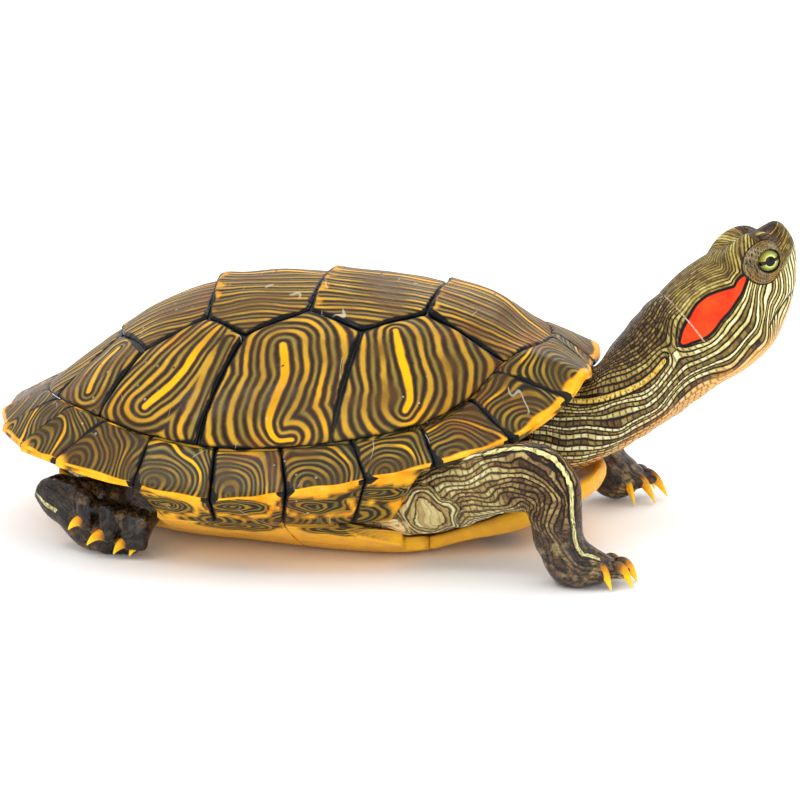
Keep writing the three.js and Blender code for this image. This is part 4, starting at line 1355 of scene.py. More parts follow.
@dataclass
class RimShields:
    """The nuchal and the twenty-four marginal shields round the rim.

    A shield is a closed cross section carried from one cross seam to the next. The section
    runs from the inner seam over a slight swell to the rounded rim and back underneath.
    """

    form: ShellForm
    seams: tuple = (
        (3.2, 3.4), (26.1, 33.5), (42.9, 41.5), (59.4, 54.5), (72, 70), (85, 85), (96, 97.5),
        (110, 112), (129, 125), (142, 138), (156, 146), (168, 160), (180, 180))
    start: float = 0.15
    swell: float = 0.7
    edge: float = 2.2
    thick: float = 3.4
    reach: float = 0.25
    plate: float = 2.5
    bridge_from: float = 62.3
    bridge_to: float = 111.0
    bridge_fade: tuple[float, float] = (3.2, 5.0)
    bridge_inner: float = -0.1
    bridge_z: float = 12.7
    rings: int = 34
    around: int = 96
    gap: float = 0.12
    groove: float = 0.45
    groove_width: float = 0.8
    # How far the rear corner of each marginal stands out, from the neck to the tail.
    saw: tuple = (0, 0, 0, 0, 0, 0, 0.3, 0.8, 1.3, 1.5, 1.5, 1.2)
    # Where the bright rim begins on each, as a share of the width.
    bright_from: tuple = (0.6, 0.66, 0.72, 0.78, 0.82, 0.84, 0.84, 0.82, 0.8, 0.78, 0.74, 0.7)

    def sections(self, rim_angle: Array, seam_angle: Array, flare: Array) -> tuple[Array, Array]:
        """Cross sections of the rim at pairs of angles.

        The eight corners are joined by a closed Catmull-Rom curve. Corners 0 to 4 run along
        the top from the seam to the rim, and 4 to 7 come back underneath.

        Args:
            rim_angle: angles at the rim, in degrees.
            seam_angle: angles at the inner seam.
            flare: how far the rim stands out there.

        Returns:
            The points, ring by ring, and where each lies along the profile from 0 to 8.
        """
        form = self.form
        r = form.oval_point(form.rim, rim_angle)
        i = form.oval_point(form.seam, seam_angle)
        notch = form.notch_depth * bell(r[:, 1], form.notch_half_width) * (r[:, 0] > 0)
        r[:, 0] -= notch
        r += unit(r - i) * flare[:, None]
        a = np.abs(rim_angle)
        rim_z, seam_z = form.rim_height(a), form.seam_height(i[:, 0])
        front, rear = self.bridge_fade
        bridge = smooth(self.bridge_from - front, self.bridge_from + front, a)
        bridge = bridge * (1 - smooth(self.bridge_to - rear, self.bridge_to + rear, a))
        width = np.linalg.norm(r - i, axis=1)
        wall = form.dome_normal(i[:, 0], i[:, 1] - np.sign(i[:, 1]) * self.start)
        inward = np.hypot(wall[:, 0], wall[:, 1]) * self.plate
        reach = mix(self.reach, self.bridge_inner, bridge) * width
        under = mix(mix(seam_z, rim_z, self.reach) - self.thick, self.bridge_z, bridge)
        one = np.ones_like(width)
        out = np.stack([self.start * one, 0.35 * width, 0.75 * width, 0.95 * width, width,
                        0.93 * width, reach, self.start - inward], axis=1)
        z = np.stack([seam_z, mix(seam_z, rim_z, 0.35) + self.swell, mix(seam_z, rim_z, 0.75) + self.swell,
                      rim_z + 0.45 * self.edge, rim_z, rim_z - 0.55 * self.edge, under,
                      seam_z - self.plate * wall[:, 2]], axis=1)
        at = np.linspace(0, 8, self.around, endpoint=False)
        share = closed_curve(out, at) / width[:, None]
        xy = i[:, None] + share[..., None] * (r - i)[:, None]
        return np.concatenate([xy, closed_curve(z, at)[..., None]], axis=-1), at

    def shape(self, start: tuple, end: tuple, side: Side, seed: int, saw: float = 0.0,
              bright: float = 0.7) -> Surface:
        """One rim shield between two cross seams.

        On top the lines count the distance to a point near the rear of its inner side, and
        underneath the distance to the corners, where the dark blots lie.

        Args:
            start: rim and seam angle of its front seam.
            end: rim and seam angle of its rear seam.
            side: the side it lies on.
            seed: number of its own pattern.
            saw: how far its rear corner stands out.
            bright: share of the width where the bright rim begins.

        Returns:
            The closed surface with its pattern values.
        """
        margin = math.degrees(self.gap / self.form.seam.side)
        t = np.linspace(0, 1, self.rings)
        t = mix(t, smooth(0, 1, t), 0.5)
        rim = mix(start[0] + margin, end[0] - margin, t)
        seam = mix(start[1] + margin, end[1] - margin, t)
        rings, at = self.sections(side.value * rim, side.value * seam, saw * t**3)
        steps = np.linalg.norm(np.diff(rings, axis=0), axis=-1)
        run = np.vstack([np.zeros(self.around), np.cumsum(steps, axis=0)])
        ahead, behind = run, run[-1] - run
        cross = np.minimum(ahead, behind)
        centres = rings.mean(axis=1, keepdims=True)
        dip = self.groove * (1 - smooth(0, self.groove_width, cross)) ** 1.5
        rings = rings - unit(rings - centres) * dip[..., None]
        flat = rings.reshape(-1, 3)
        along = np.tile(at, self.rings)
        out = np.where(along < 4, along / 4, np.clip(1 + (along - 4) / 2.5, 1, 2))
        last, corner_step = self.rings - 1, self.around / 8
        eye = rings[int(0.72 * last), int(3.0 * corner_step)]
        radius = np.linalg.norm((flat - eye) * [1.0, 1.0, 0.7], axis=1)
        radius *= 1 + 0.12 * wander(flat, 14.0, seed)
        whorl = 0.35 + radius / 3.0 + 0.16 * wander(flat, 10.0, seed + 3)
        row = int(2.6 * corner_step)
        size = float(np.linalg.norm(rings[0, row] - rings[last, row]))
        tone = 0.16 + 0.85 * bell(radius - 0.55 * size, 1.1) + 0.2 * wander(flat, 10.0, seed + 5)
        underside = out > 1.04
        row = int(5.7 * corner_step)
        low = [np.linalg.norm((flat - rings[k, row]) * [0.5, 0.7, 0.95], axis=1) for k in (0, last)]
        spots = np.minimum(*low)
        whorl = np.where(underside, 0.3 + spots / 2.1 + 0.1 * wander(flat, 8.0, seed + 8), whorl)
        ocellus = smooth(5.6, 4.6, spots + 0.7 * wander(flat, 7.0, seed + 9))
        blotch = self.form.side_blotch(flat, self.form.rim_blotches)
        whorl = np.where(underside & (blotch < 3.6), blotch / 1.3, whorl)
        ocellus = np.maximum(ocellus * smooth(3.4, 4.2, blotch), smooth(3.5, 3.0, blotch))
        lip = smooth(bright, bright + 0.1, out + 0.05 * wander(flat, 7.0, seed + 21))
        band = np.where(underside, 1 - ocellus, lip) * (along < 7.2)
        tone = np.where(underside, 0.35, tone)
        edge = np.minimum(cross.ravel() + 0.3, 0.9 + 9 * np.minimum(out, 1.0) + 9 * (out > 1))
        corner = smooth(3.0, 1.0, np.hypot(behind.ravel(), 5 * (out - 0.9)))
        hem = smooth(0.8, 0.95, out) * smooth(1.5, 1.3, out)
        ragged = cross.ravel() + 0.9 * wander(flat, 5.0, seed + 13)
        tip = smooth(5.0, 2.5, np.hypot(behind.ravel(), 11 * (1 - np.minimum(out, 1)))) * (saw > 0.5)
        band = np.maximum(band, tip)
        blot = (0.8 * corner + 0.9 * smooth(2.4, 1.2, ragged) * hem) * (1 - tip)
        surface = closed_rings(rings)
        surface.values = {"whorl": padded(whorl, 2, 0.3), "tone": padded(tone, 2, 0.0),
                          "edge": padded(edge, 2, 0.0), "band": padded(band, 2, 0.0),
                          "blot": padded(blot, 2, 0.0)}
        return surface

    def build(self, material: bpy.types.Material) -> None:
        """Makes the nuchal and both rows of marginals.

        Args:
            material: the finish that they wear.
        """
        rim, seam = self.seams[0]
        nuchal = self.shape((-rim, -seam), (rim, seam), Side.LEFT, 90)
        place(nuchal, "rim_nuchal", material, ["nuchal"])
        for side in Side:
            for k, (start, end) in enumerate(zip(self.seams, self.seams[1:]), 1):
                node = f"marginal_{side.name.lower()}_{k}"
                saw, bright = self.saw[k - 1], self.bright_from[k - 1]
                shield = self.shape(start, end, side, 100 + k, saw, bright)
                place(shield, f"rim_{node}", material, [node])


@dataclass
class ShellBone:
    """Dark horn-covered bone under the shields, which shows in the grooves."""

    form: ShellForm
    depth: float = 1.15
    thickness: float = 1.3
    rings: int = 60
    around: int = 240

    def build(self, material: bpy.types.Material) -> None:
        """Makes the dome under the shields: one sheet out and one back.

        Args:
            material: the finish that it wears.
        """
        angles = np.linspace(0, 360, self.around, endpoint=False)
        edge = self.form.oval_point(self.form.seam, angles)
        share = np.linspace(0.02, 0.995, self.rings)
        xy = share[:, None, None] * edge
        x, y = xy.reshape(-1, 2).T
        top = np.column_stack([x, y, self.form.dome(x, y)])
        normal = self.form.dome_normal(x, y)
        over, under = ((top - depth * normal).reshape(self.rings, self.around, 3)
                       for depth in (self.depth, self.depth + self.thickness))
        rings = np.concatenate([over, under[::-1]])
        place(closed_rings(rings), "shell_bone", material)


@dataclass(frozen=True)
class BellyBand:
    """One band of the breastplate: its seams as (x at the middle, lean per millimetre of y)."""

    name: str
    rear: tuple[float, float]
    front: tuple[float, float]
    wing: bool


@dataclass
class Breastplate:
    """The six bands of the breastplate with the wings that join it to the rim.

    A band is a loft across the animal. Each section runs along the underside from the rear
    seam to the front seam and back over the top; the wings draw in to follow the rim.
    """

    form: ShellForm
    front_end: Curve = Curve(((7, 81), (15, 76), (24, 66), (30, 50), (33, 38)))
    rear_end: Curve = Curve(((14, -67.5), (23, -60), (30, -45), (31, -34)))
    wing_span: tuple[float, float] = (-27.0, 34.0)
    wing_side: float = 33.0
    wing_root: float = 42.0
    wing_tip: float = 51.1
    wing_flare: float = 8.0
    wing_inset: float = 1.9
    thickness: float = 3.5
    lobe_drop: float = 2.0
    roundness: float = 1.7
    blunt: float = 1.5
    gap: float = 0.12
    groove: float = 0.4
    lengths: int = 30
    widths: int = 120
    bands: tuple[BellyBand, ...] = (
        BellyBand("gular", (60, 0.75), (81, -0.25), False),
        BellyBand("humeral", (44, -0.15), (60, 0.75), False),
        BellyBand("pectoral", (10, -0.08), (44, -0.15), True),
        BellyBand("abdominal", (-27, -0.1), (10, -0.08), True),
        BellyBand("femoral", (-45, -0.2), (-27, -0.1), False),
        BellyBand("anal", (-68, 0.3), (-45, -0.2), False),
    )

    def span(self, band: BellyBand, y: Array) -> tuple[Array, Array]:
        """Rear and front x of a band at distances y from the middle.

        Args:
            band: the band.
            y: distances from the middle line.

        Returns:
            The rear and the front x at each distance.
        """
        rear = band.rear[0] + band.rear[1] * y
        front = band.front[0] + band.front[1] * y
        if not band.wing:
            return np.maximum(rear, self.rear_end(y)), np.minimum(front, self.front_end(y))
        flare = self.wing_flare * (1 - smooth(self.wing_side, self.wing_root, y))
        low, high = self.wing_span
        return np.maximum(rear, low - flare), np.minimum(front, high + flare)

    def free_edge(self, x: Array, y: Array) -> Array:
        """Distance in plan to the outline of the front and rear lobes.

        Args:
            x: places along the body.
            y: places across it.

        Returns:
            One distance per place.
        """
        out = np.linspace(-self.wing_side, self.wing_side, 121)
        plan = np.column_stack([x.ravel(), y.ravel()])
        ends = [np.column_stack([end(np.abs(out)), out]) for end in (self.front_end, self.rear_end)]
        return np.min([distance_to_path(plan, end) for end in ends], axis=0).reshape(x.shape)

    def shape(self, band: BellyBand) -> Surface:
        """One band's closed surface with its pattern values.

        Across the animal the rows follow the belly's height; at the seams and the free edge
        both sides draw together as a power or a quarter circle. The lines count the distance
        to a dark blotch on each side, or on the wings to the blotches below the rim.

        Args:
            band: the band.

        Returns:
            The closed surface.
        """
        y = np.linspace(0, self.wing_tip if band.wing else self.wing_side, 400)
        rear, front = self.span(band, y)
        half = float(y[front - rear > self.blunt].max()) - self.gap
        turn = np.linspace(-1, 1, self.widths)
        across = half * mix(turn, np.sin(turn * math.pi / 2), 0.35)
        rear, front = self.span(band, np.abs(across))
        t = np.linspace(0, 1, self.lengths)
        x = mix(rear[:, None] + self.gap, front[:, None] - self.gap, mix(t, smooth(0, 1, t), 0.4))
        y = np.repeat(across[:, None], self.lengths, axis=1)
        if band.wing:
            beyond = np.maximum(0, np.abs(y) - self.wing_side)
            room = self.form.field_width(x) - self.wing_inset - self.wing_side
            beyond = beyond * room / (self.wing_tip - self.wing_side)
            y = np.sign(y) * (np.minimum(np.abs(y), self.wing_side) + beyond)
        drop = self.lobe_drop * smooth(46.0, 62.0, x) * (not band.wing)
        z = self.form.belly(x, y) - drop
        cross = np.minimum(x - rear[:, None], front[:, None] - x)
        reach = np.abs(across)[:, None]
        seam = np.minimum(x - band.rear[0] - band.rear[1] * reach + 9.0 * (band.name == "anal"),
                          band.front[0] + band.front[1] * reach - x + 9.0 * (band.name == "gular"))
        seam = np.minimum(np.abs(seam), np.abs(y) + 0.1)
        outer = np.minimum(cross, (half - np.abs(across))[:, None] + 0.15)
        keep = smooth(-0.2, 0.9, outer)
        up = self.groove * (1 - keep) ** 1.5
        if not band.wing:
            turn = 1 - np.clip(self.free_edge(x, y) / (self.roundness + 0.5 * drop), 0, 1)
            up = np.maximum(up, (self.roundness + 0.5 * drop) * (1 - np.sqrt(1 - turn * turn)))
        under = np.stack([x, y, z + up], axis=-1)
        over = np.stack([x, y, z + drop + self.thickness - up], axis=-1)[:, ::-1]
        rings = np.concatenate([under, over], axis=1)
        surface = closed_rings(rings)
        flat = surface.points
        mid_x = float(sum(self.span(band, np.array([14.0])))[0]) / 2
        seed = int(abs(band.rear[0]) * 3)
        spot = np.hypot((flat[:, 0] - mid_x) / 1.1, np.abs(flat[:, 1]) - 15.0)
        rings_count = spot / 2.7 + 0.12 * wander(flat, 8.0, seed)
        dark = smooth(6.4, 5.0, spot + 1.0 * wander(flat, 9.0, seed + 1))
        wing = smooth(36, 39, np.abs(flat[:, 1]))
        blotch = self.form.side_blotch(flat, self.form.wing_blotches)
        whorl = mix(rings_count, blotch / 1.3, wing)
        dark = mix(dark * (band.name != "gular"), smooth(3.5, 3.0, blotch) * band.wing, wing)
        edge = np.concatenate([seam, seam[:, ::-1]], axis=1).ravel()
        edge = np.concatenate([edge, [3.0, 3.0]]) * 3.2 + 0.6
        surface.values = {"whorl": whorl, "tone": np.full(len(flat), 0.3), "edge": edge,
                          "band": 1 - dark, "blot": np.zeros(len(flat))}
        return surface

    def build(self, material: bpy.types.Material) -> None:
        """Makes the six bands."""
        for band in self.bands:
            place(self.shape(band), f"belly_{band.name}", material, [f"plastron_{band.name}"])


# ------------------------------------------------------------------ flesh


def ellipse_distance(offset: Array, axes: Array, radii: Sequence) -> Array:
    """Signed distance, near the surface, to an ellipsoid.

    Args:
        offset: vectors from its middle.
        axes: its three axes, one per row, or one such triple per offset.
        radii: its radii, each a number or one value per offset.

    Returns:
        One distance per offset, negative inside.
    """
    local = np.einsum("...j,...kj->...k", offset, axes)
    scaled = np.stack([local[..., k] / radii[k] for k in range(3)], axis=-1)
    share = np.maximum(np.linalg.norm(scaled, axis=-1), 1e-3)
    return np.linalg.norm(local, axis=-1) * (1 - 1 / share)


def merge(a: Array, b: Array, width: float) -> Array:
    """The smaller of two distances, with a fillet of the given width where they meet."""
    h = np.maximum(width - np.abs(a - b), 0.0) / width
    return np.minimum(a, b) - h * h * width / 4


def carve(a: Array, b: Array, width: float) -> Array:
    """What is left of a once b is taken out, with a rounded edge."""
    return -merge(-a, b, width)


@dataclass(frozen=True)
class HeadFrame:
    """The head's own axes: s forward from the back of the skull, l to its left, t up."""

    origin: tuple[float, float, float] = (101.0, 2.5, 51.0)
    pitch: float = 40.0
    yaw: float = 22.0

    @property
    def axes(self) -> Array:
        """Forward, left and up as rows.

        Returns:
            Three unit vectors.
        """
        p, y = math.radians(self.pitch), math.radians(self.yaw)
        forward = np.array([math.cos(p) * math.cos(y), math.cos(p) * math.sin(y), math.sin(p)])
        left = np.array([-math.sin(y), math.cos(y), 0.0])
        return np.stack([forward, left, np.cross(forward, left)])

    def to_world(self, slt: Sequence) -> Array:
        """A point given as (s, l, t)."""
        return np.asarray(self.origin) + np.asarray(slt, float) @ self.axes

    def to_head(self, points: Array) -> Array:
        """Points as (s, l, t)."""
        return (points - np.asarray(self.origin)) @ self.axes.T


@dataclass
class HeadAndNeck:
    """Neck and head as one body swept through rings, with brows, lids, jaws and nostrils."""

    frame: HeadFrame = field(default_factory=HeadFrame)
    # Neck rings: top x and z, bottom x and z, middle y, half width, turn to the left.
    neck: tuple = (
        (62.6, 46, 62.6, 13.8, 0, 20, 0), (71, 43, 71, 16.4, 0, 18, 0),
        (77, 43.4, 79.1, 20, 0.2, 15.2, 4), (81.5, 49.5, 88.6, 25.1, 0.7, 13.6, 9),
        (86.4, 56.2, 98.2, 31.5, 1.4, 12.9, 14), (90.8, 61.6, 106.9, 37.9, 2, 12.5, 19))
    # Head rings: station, top, bottom, half width.
    head: tuple = (
        (4, 14.5, -14.7, 12.2), (10, 14.8, -15.3, 12.6), (16, 14.2, -14.8, 12.1),
        (21, 13.1, -12.8, 10.9), (25, 11.8, -10.7, 9.7), (29, 10.9, -7.9, 8.3),
        (32, 10.1, -5.2, 6.8), (34.6, 9.6, -2.3, 5.4), (36.3, 9.2, 0.2, 4.1),
        (37.4, 8.4, 2.5, 2.5), (37.9, 7.2, 4.4, 0.6))
    power: float = 2.3
    taper: float = 0.1
    eye: tuple[float, float, float] = (27.6, 6.0, 5.2)
    eye_radius: float = 3.9
    lid_thickness: float = 0.8
    lid_opening: tuple[float, float] = (3.05, 2.85)
    brow: tuple[float, float, float] = (26.3, 5.5, 6.4)
    brow_radii: tuple[float, float, float] = (6.1, 4.3, 5.3)
    ridge: tuple[float, float, float] = (24.5, 5.2, 8.4)
    ridge_radii: tuple[float, float, float] = (8.0, 3.7, 5.4)
    fold: float = 1.6
    orbit: float = 5.7
    mouth: tuple = ((16.8, -7.6), (19, -6.6), (22, -6), (26.2, -5.9), (30.4, -6.7), (35, -7.8))
    mouth_depth: float = 0.5
    mouth_width: float = 0.4
    nostril: tuple[float, float, float] = (37.0, 1.15, 6.2)
    nostril_radius: float = 0.5
    # Outline of the ear patch, as (station, height round from the side).
    patch: tuple = (
        (20.6, 6.5), (18.2, 7.1), (16.2, 6.5), (15, 7.3), (12.1, 8.7), (9.5, 9.6), (6.6, 9.8),
        (4.4, 9), (2.1, 7.4), (-0.3, 5.1), (-2.5, 2.9), (-3.8, 1.5), (-2.3, 0.6), (1.3, 1.2),
        (4.4, 2.1), (8.1, 3.1), (11.4, 3.4), (14.5, 4.2), (16.5, 4.5), (18.2, 5.1), (20.3, 5.8))
    # Middle line of the gold stripe behind it, and half its width.
    stripe: tuple = (
        (-9.3, 1.3), (-13, 0.7), (-16.7, 1.0), (-21.5, 2.4), (-29.1, 5.8), (-36, 8.5), (-48, 11))
    stripe_half: float = 0.7
    # Yellow stripes over the snout: their heights at the snout's root, and half their width.
    nose_stripes: tuple[float, float] = (7.7, 2.65)
    nose_half: float = 0.32
    nose_period: float = 0.66
    # Line between the upper and the lower bands.
    spine: tuple = (
        (-48, 11), (-36, 8.5), (-29.1, 5.8), (-21.5, 2.4), (-16.7, 1), (-9.3, 1.3), (-3.6, 1.2),
        (6, 5.5), (14, 6.2), (20.8, 7.2), (24, 6.4), (28, 3.6), (32, 0.9), (38, -0.6))
    # The bands above the ear patch run on past its tip beside this line.
    brow_line: tuple = ((20.8, 7.2), (23.2, 9.8), (27.5, 12.2), (38.0, 13.6))
    # Distances of the dark lines from the ear patch, on the cheek, lower and upper neck.
    cheek_lines: tuple = (
        0.1, 0.75, 1.4, 2.1, 2.85, 3.6, 4.4, 5.3, 6.2, 7.9, 8.6, 9.4, 10.3, 11.3, 12.3, 13.3)
    lower_lines: tuple = (
        0.1, 1.15, 2.15, 3.3, 4.55, 6.0, 8.05, 9.0, 9.95, 11.6, 13.2, 14.8, 16.4, 18, 19.6, 21.2)
    upper_lines: tuple = (
        0.2, 1.5, 2.6, 3.6, 4.6, 5.5, 6.4, 7.3, 8.2, 9.1, 10, 10.9, 11.8, 12.7, 13.6, 14.5)
    # Fillets and grooves of the details, in millimetres.
    waves: float = 0.14
    fold_size: tuple[float, float] = (0.2, 0.4)
    brow_fillet: float = 1.6
    lid_fillet: float = 0.9
    orbit_groove: tuple[float, float] = (0.3, 0.45)
    beak_swell: float = 0.28
    lid_edge: float = 0.35
    nostril_edge: float = 0.3
    eyeball_gap: float = 0.07

    def __post_init__(self) -> None:
        """Works out the rings' planes and the curves through them."""
        rings = []
        for tx, tz, bx, bz, y, half, turn in self.neck:
            turn = math.radians(turn)
            centre = ((tx + bx) / 2, y, (tz + bz) / 2)
            up = ((tx - bx) / 2, 0.0, (tz - bz) / 2)
            rings.append((centre, up, (-math.sin(turn) * half, math.cos(turn) * half, 0.0)))
        _, left, up = self.frame.axes
        for s, top, bottom, half in self.head:
            centre = self.frame.to_world((s, 0, (top + bottom) / 2))
            rings.append((centre, up * (top - bottom) / 2, left * half))
        table = np.array(rings, float)
        step = np.linalg.norm(np.diff(table[:, 0], axis=0), axis=1)
        count = len(self.neck)
        before = self.head[0][0] - np.cumsum(step[:count][::-1])[::-1]
        self.station = np.concatenate([before, [ring[0] for ring in self.head]])
        self.centre, self.normal = table[:, 0], unit(np.cross(table[:, 2], table[:, 1]))
        rows = np.column_stack([self.station, table.reshape(len(table), 9)])
        self.path = Curve(tuple(map(tuple, rows)))

    def sweep(self, points: Array) -> tuple[Array, Array, Array]:
        """Places points against the swept body.

        A point lies between two ring planes; its share of the way between them gives its
        station, and the section there is a superellipse that is narrower towards the top.

        Args:
            points: positions, one per row.

        Returns:
            Signed distance near the surface, station, and angle round the section from its
            left point.
        """
        gap = points @ self.normal.T - np.einsum("ij,ij->i", self.centre, self.normal)
        last = len(self.station) - 2
        k = np.clip((gap >= 0).sum(axis=1) - 1, 0, last)
        row = np.arange(len(points))
        behind, ahead = gap[row, k], gap[row, k + 1]
        share = np.clip(behind / np.maximum(behind - ahead, 1e-6), 0, 1)
        station = mix(self.station[k], self.station[k + 1], share)
        centre, up, left = np.moveaxis(self.path(station).reshape(-1, 3, 3), 1, 0)
        offset = points - centre
        b = np.einsum("ij,ij->i", offset, up) / np.einsum("ij,ij->i", up, up)
        a = np.einsum("ij,ij->i", offset, left) / np.einsum("ij,ij->i", left, left)
        a = a / (1 - self.taper * np.clip(b, -1, 1))
        ease = self.power / 2
        c, d = np.sign(a) * np.abs(a) ** ease, np.sign(b) * np.abs(b) ** ease
        reach = np.maximum(np.hypot(c, d) ** (1 / ease), 1e-3)
        value = np.linalg.norm(offset, axis=1) * (1 - 1 / reach)
        value = np.maximum(value, np.maximum(-gap[:, 0], gap[:, -1]))
        return value, station, np.arctan2(d, c)

    def eye_centre(self, side: Side) -> Array:
        """Middle of an eyeball."""
        s, out, t = self.eye
        return self.frame.to_world((s, side.value * out, t))

    def orbit_gap(self, slt: Array) -> Array:
        """How far points lie outside the rim of the eye socket, in the side view."""
        up = slt[:, 2] - self.brow[2]
        return np.hypot(slt[:, 0] - self.brow[0], up * np.where(up > 0, 1.25, 0.97)) - self.orbit

    def mouth_gap(self, slt: Array) -> Array:
        """Distance in the side view from points in head axes to the mouth line."""
        return distance_to_path(slt[:, [0, 2]], np.array(self.mouth, float))

    def distance(self, points: Array) -> Array:
        """Signed distance to neck and head with all their details.

        Args:
            points: positions, one per row.

        Returns:
            One distance per point, negative inside.
        """
        value, station, angle = self.sweep(points)
        value += self.waves * wander(points, 6.5, 61) * smooth(8, -4, station)
        height, width = self.fold_size
        value += height * bell(station - self.fold, width) * (np.sin(angle) > 0)
        near = (value < 6) & (station > 5)
        q = self.frame.to_head(points[near])
        v = self.with_brows(value[near], q)
        lips = self.mouth_gap(q)
        v = v + self.mouth_depth * bell(lips, self.mouth_width) * (np.abs(q[:, 1]) > 1.0)
        beak = bell(q[:, 2] - np.interp(q[:, 0], *np.array(self.mouth).T) - 1.1, 0.9)
        v = v - self.beak_swell * beak * smooth(17, 22, q[:, 0])
        value[near] = self.with_openings(v, q)
        return value

    def with_brows(self, v: Array, q: Array) -> Array:
        """Adds brows, ridges, eyelids and the groove round them.

        Args:
            v: signed distances so far.
            q: the points in head axes.

        Returns:
            The new distances.
        """
        depth, width = self.orbit_groove
        for side in Side:
            mirror = np.array([1, side.value, 1])
            for centre, radii in ((self.brow, self.brow_radii), (self.ridge, self.ridge_radii)):
                lump = ellipse_distance(q - np.array(centre) * mirror, np.eye(3), radii)
                v = merge(v, lump, self.brow_fillet)
            ball = np.linalg.norm(q - np.array(self.eye) * mirror, axis=1)
            v = merge(v, ball - self.eye_radius - self.lid_thickness, self.lid_fillet)
            v = v + depth * bell(self.orbit_gap(q), width) * (q[:, 1] * side.value > 4)
        return v

    def with_openings(self, v: Array, q: Array) -> Array:
        """Takes out the openings of the eyelids, the sockets and the nostrils.

        Args:
            v: signed distances so far.
            q: the points in head axes.

        Returns:
            The new distances.
        """
        wide, tall = self.lid_opening
        for side in Side:
            mirror = np.array([1, side.value, 1])
            ball = q - np.array(self.eye) * mirror
            hole = (np.hypot(ball[:, 0] / wide, ball[:, 2] / tall) - 1) * tall
            hole = np.maximum(hole, -ball[:, 1] * side.value)
            v = carve(v, hole, self.lid_edge)
            v = np.maximum(v, self.eye_radius + self.eyeball_gap - np.linalg.norm(ball, axis=1))
            pit = np.linalg.norm(q - np.array(self.nostril) * mirror, axis=1) - self.nostril_radius
            v = carve(v, pit, self.nostril_edge)
        return v


@dataclass(frozen=True)
class Limb:
    """A tapering limb along stations (x, y, z, half across, half deep) with its toes.

    Toes are (root, end, radius) and claws are (root, tip), all in the body's axes.
    """

    name: str
    stations: tuple
    across: tuple[float, float, float] = (0.0, 1.0, 0.0)
    toes: tuple = ()
    claws: tuple = ()
    blend: float = 3.5
    steps: int = 44
    outward: float = 1.0
    folds: float = 0.3

    def centre_line(self) -> tuple[Array, Array, Array]:
        """Points, axes (across, up, along) and half sizes at even shares of the limb.

        Returns:
            The points, their axes and their half sizes.
        """
        rows = np.array(self.stations, float)
        curve = Curve(tuple((float(i), *row) for i, row in enumerate(rows)))
        at = curve(np.linspace(0, len(rows) - 1, self.steps))
        along = unit(np.gradient(at[:, :3], axis=0))
        side = np.asarray(self.across, float)
        side = unit(side - (along @ side)[:, None] * along)
        return at[:, :3], np.stack([side, np.cross(along, side), along], axis=1), at[:, 3:]

    def chart(self, points: Array) -> tuple[Array, Array, Array]:
        """Places points against the limb.

        Args:
            points: positions, one per row.

        Returns:
            Signed distance, millimetres along the limb and angle round it from the
            outward direction.
        """
        line, axes, half = self.centre_line()
        run = np.concatenate([[0], np.cumsum(np.linalg.norm(np.diff(line, axis=0), axis=1))])
        best = np.full(len(points), np.inf)
        along, angle = np.zeros(len(points)), np.zeros(len(points))
        for k in range(self.steps - 1):
            a, b = line[k], line[k + 1]
            t = np.clip((points - a) @ (b - a) / ((b - a) @ (b - a)), 0, 1)
            offset = points - (a + t[:, None] * (b - a))
            size = half[k] + t[:, None] * (half[k + 1] - half[k])
            x, y, z = (offset @ axes[k].T).T
            radii = (size[:, 0], size[:, 1], size.min(axis=1))
            share = np.sqrt((x / radii[0]) ** 2 + (y / radii[1]) ** 2 + (z / radii[2]) ** 2)
            share = np.maximum(share, 1e-3)
            value = np.linalg.norm(offset, axis=1) * (1 - 1 / share)
            closer = value < best
            best = np.where(closer, value, best)
            along = np.where(closer, run[k] + t * (run[k + 1] - run[k]), along)
            angle = np.where(closer, np.arctan2(y, x * self.outward), angle)
        return best, along, angle

    def distance(self, points: Array) -> Array:
        """Signed distance to the limb with its toes.

        Args:
            points: positions, one per row.

        Returns:
            One distance per point, negative inside.
        """
        value, along, _ = self.chart(points)
        value += self.folds * wander(points, 5.5, 62) * smooth(4.0, 12.0, along)
        for root, end, radius in self.toes:
            value = merge(value, self.toe(points, root, end, radius), 1.3)
        return value

    def toe(self, points: Array, root: Array, end: Array, radius: float) -> Array:
        """Signed distance to one toe: a tapering rod with two slight knuckles.

        Args:
            points: positions, one per row.
            root: where the toe starts.
            end: where it ends.
            radius: its half thickness at the root.

        Returns:
            One distance per point, negative inside.
        """
        root, end = np.asarray(root), np.asarray(end)
        along = end - root
        t = np.clip((points - root) @ along / (along @ along), 0, 1)
        size = radius * (1 - 0.38 * smooth(0.3, 1.1, t) + 0.05 * np.cos(t * 4 * math.pi))
        return np.linalg.norm(points - (root + t[:, None] * along), axis=1) - size

    def box(self) -> tuple[Array, Array]:
        """Corners of a box round the limb.

        Returns:
            The low and the high corner.
        """
        line, _, half = self.centre_line()
        reach = half.max(axis=1, keepdims=True)
        ends = [np.asarray(point, float) + sign * radius
                for *toe, radius in self.toes for point in toe for sign in (-1, 1)]
        cloud = np.vstack([line - reach, line + reach, *ends])
        return cloud.min(axis=0) - self.blend, cloud.max(axis=0) + self.blend


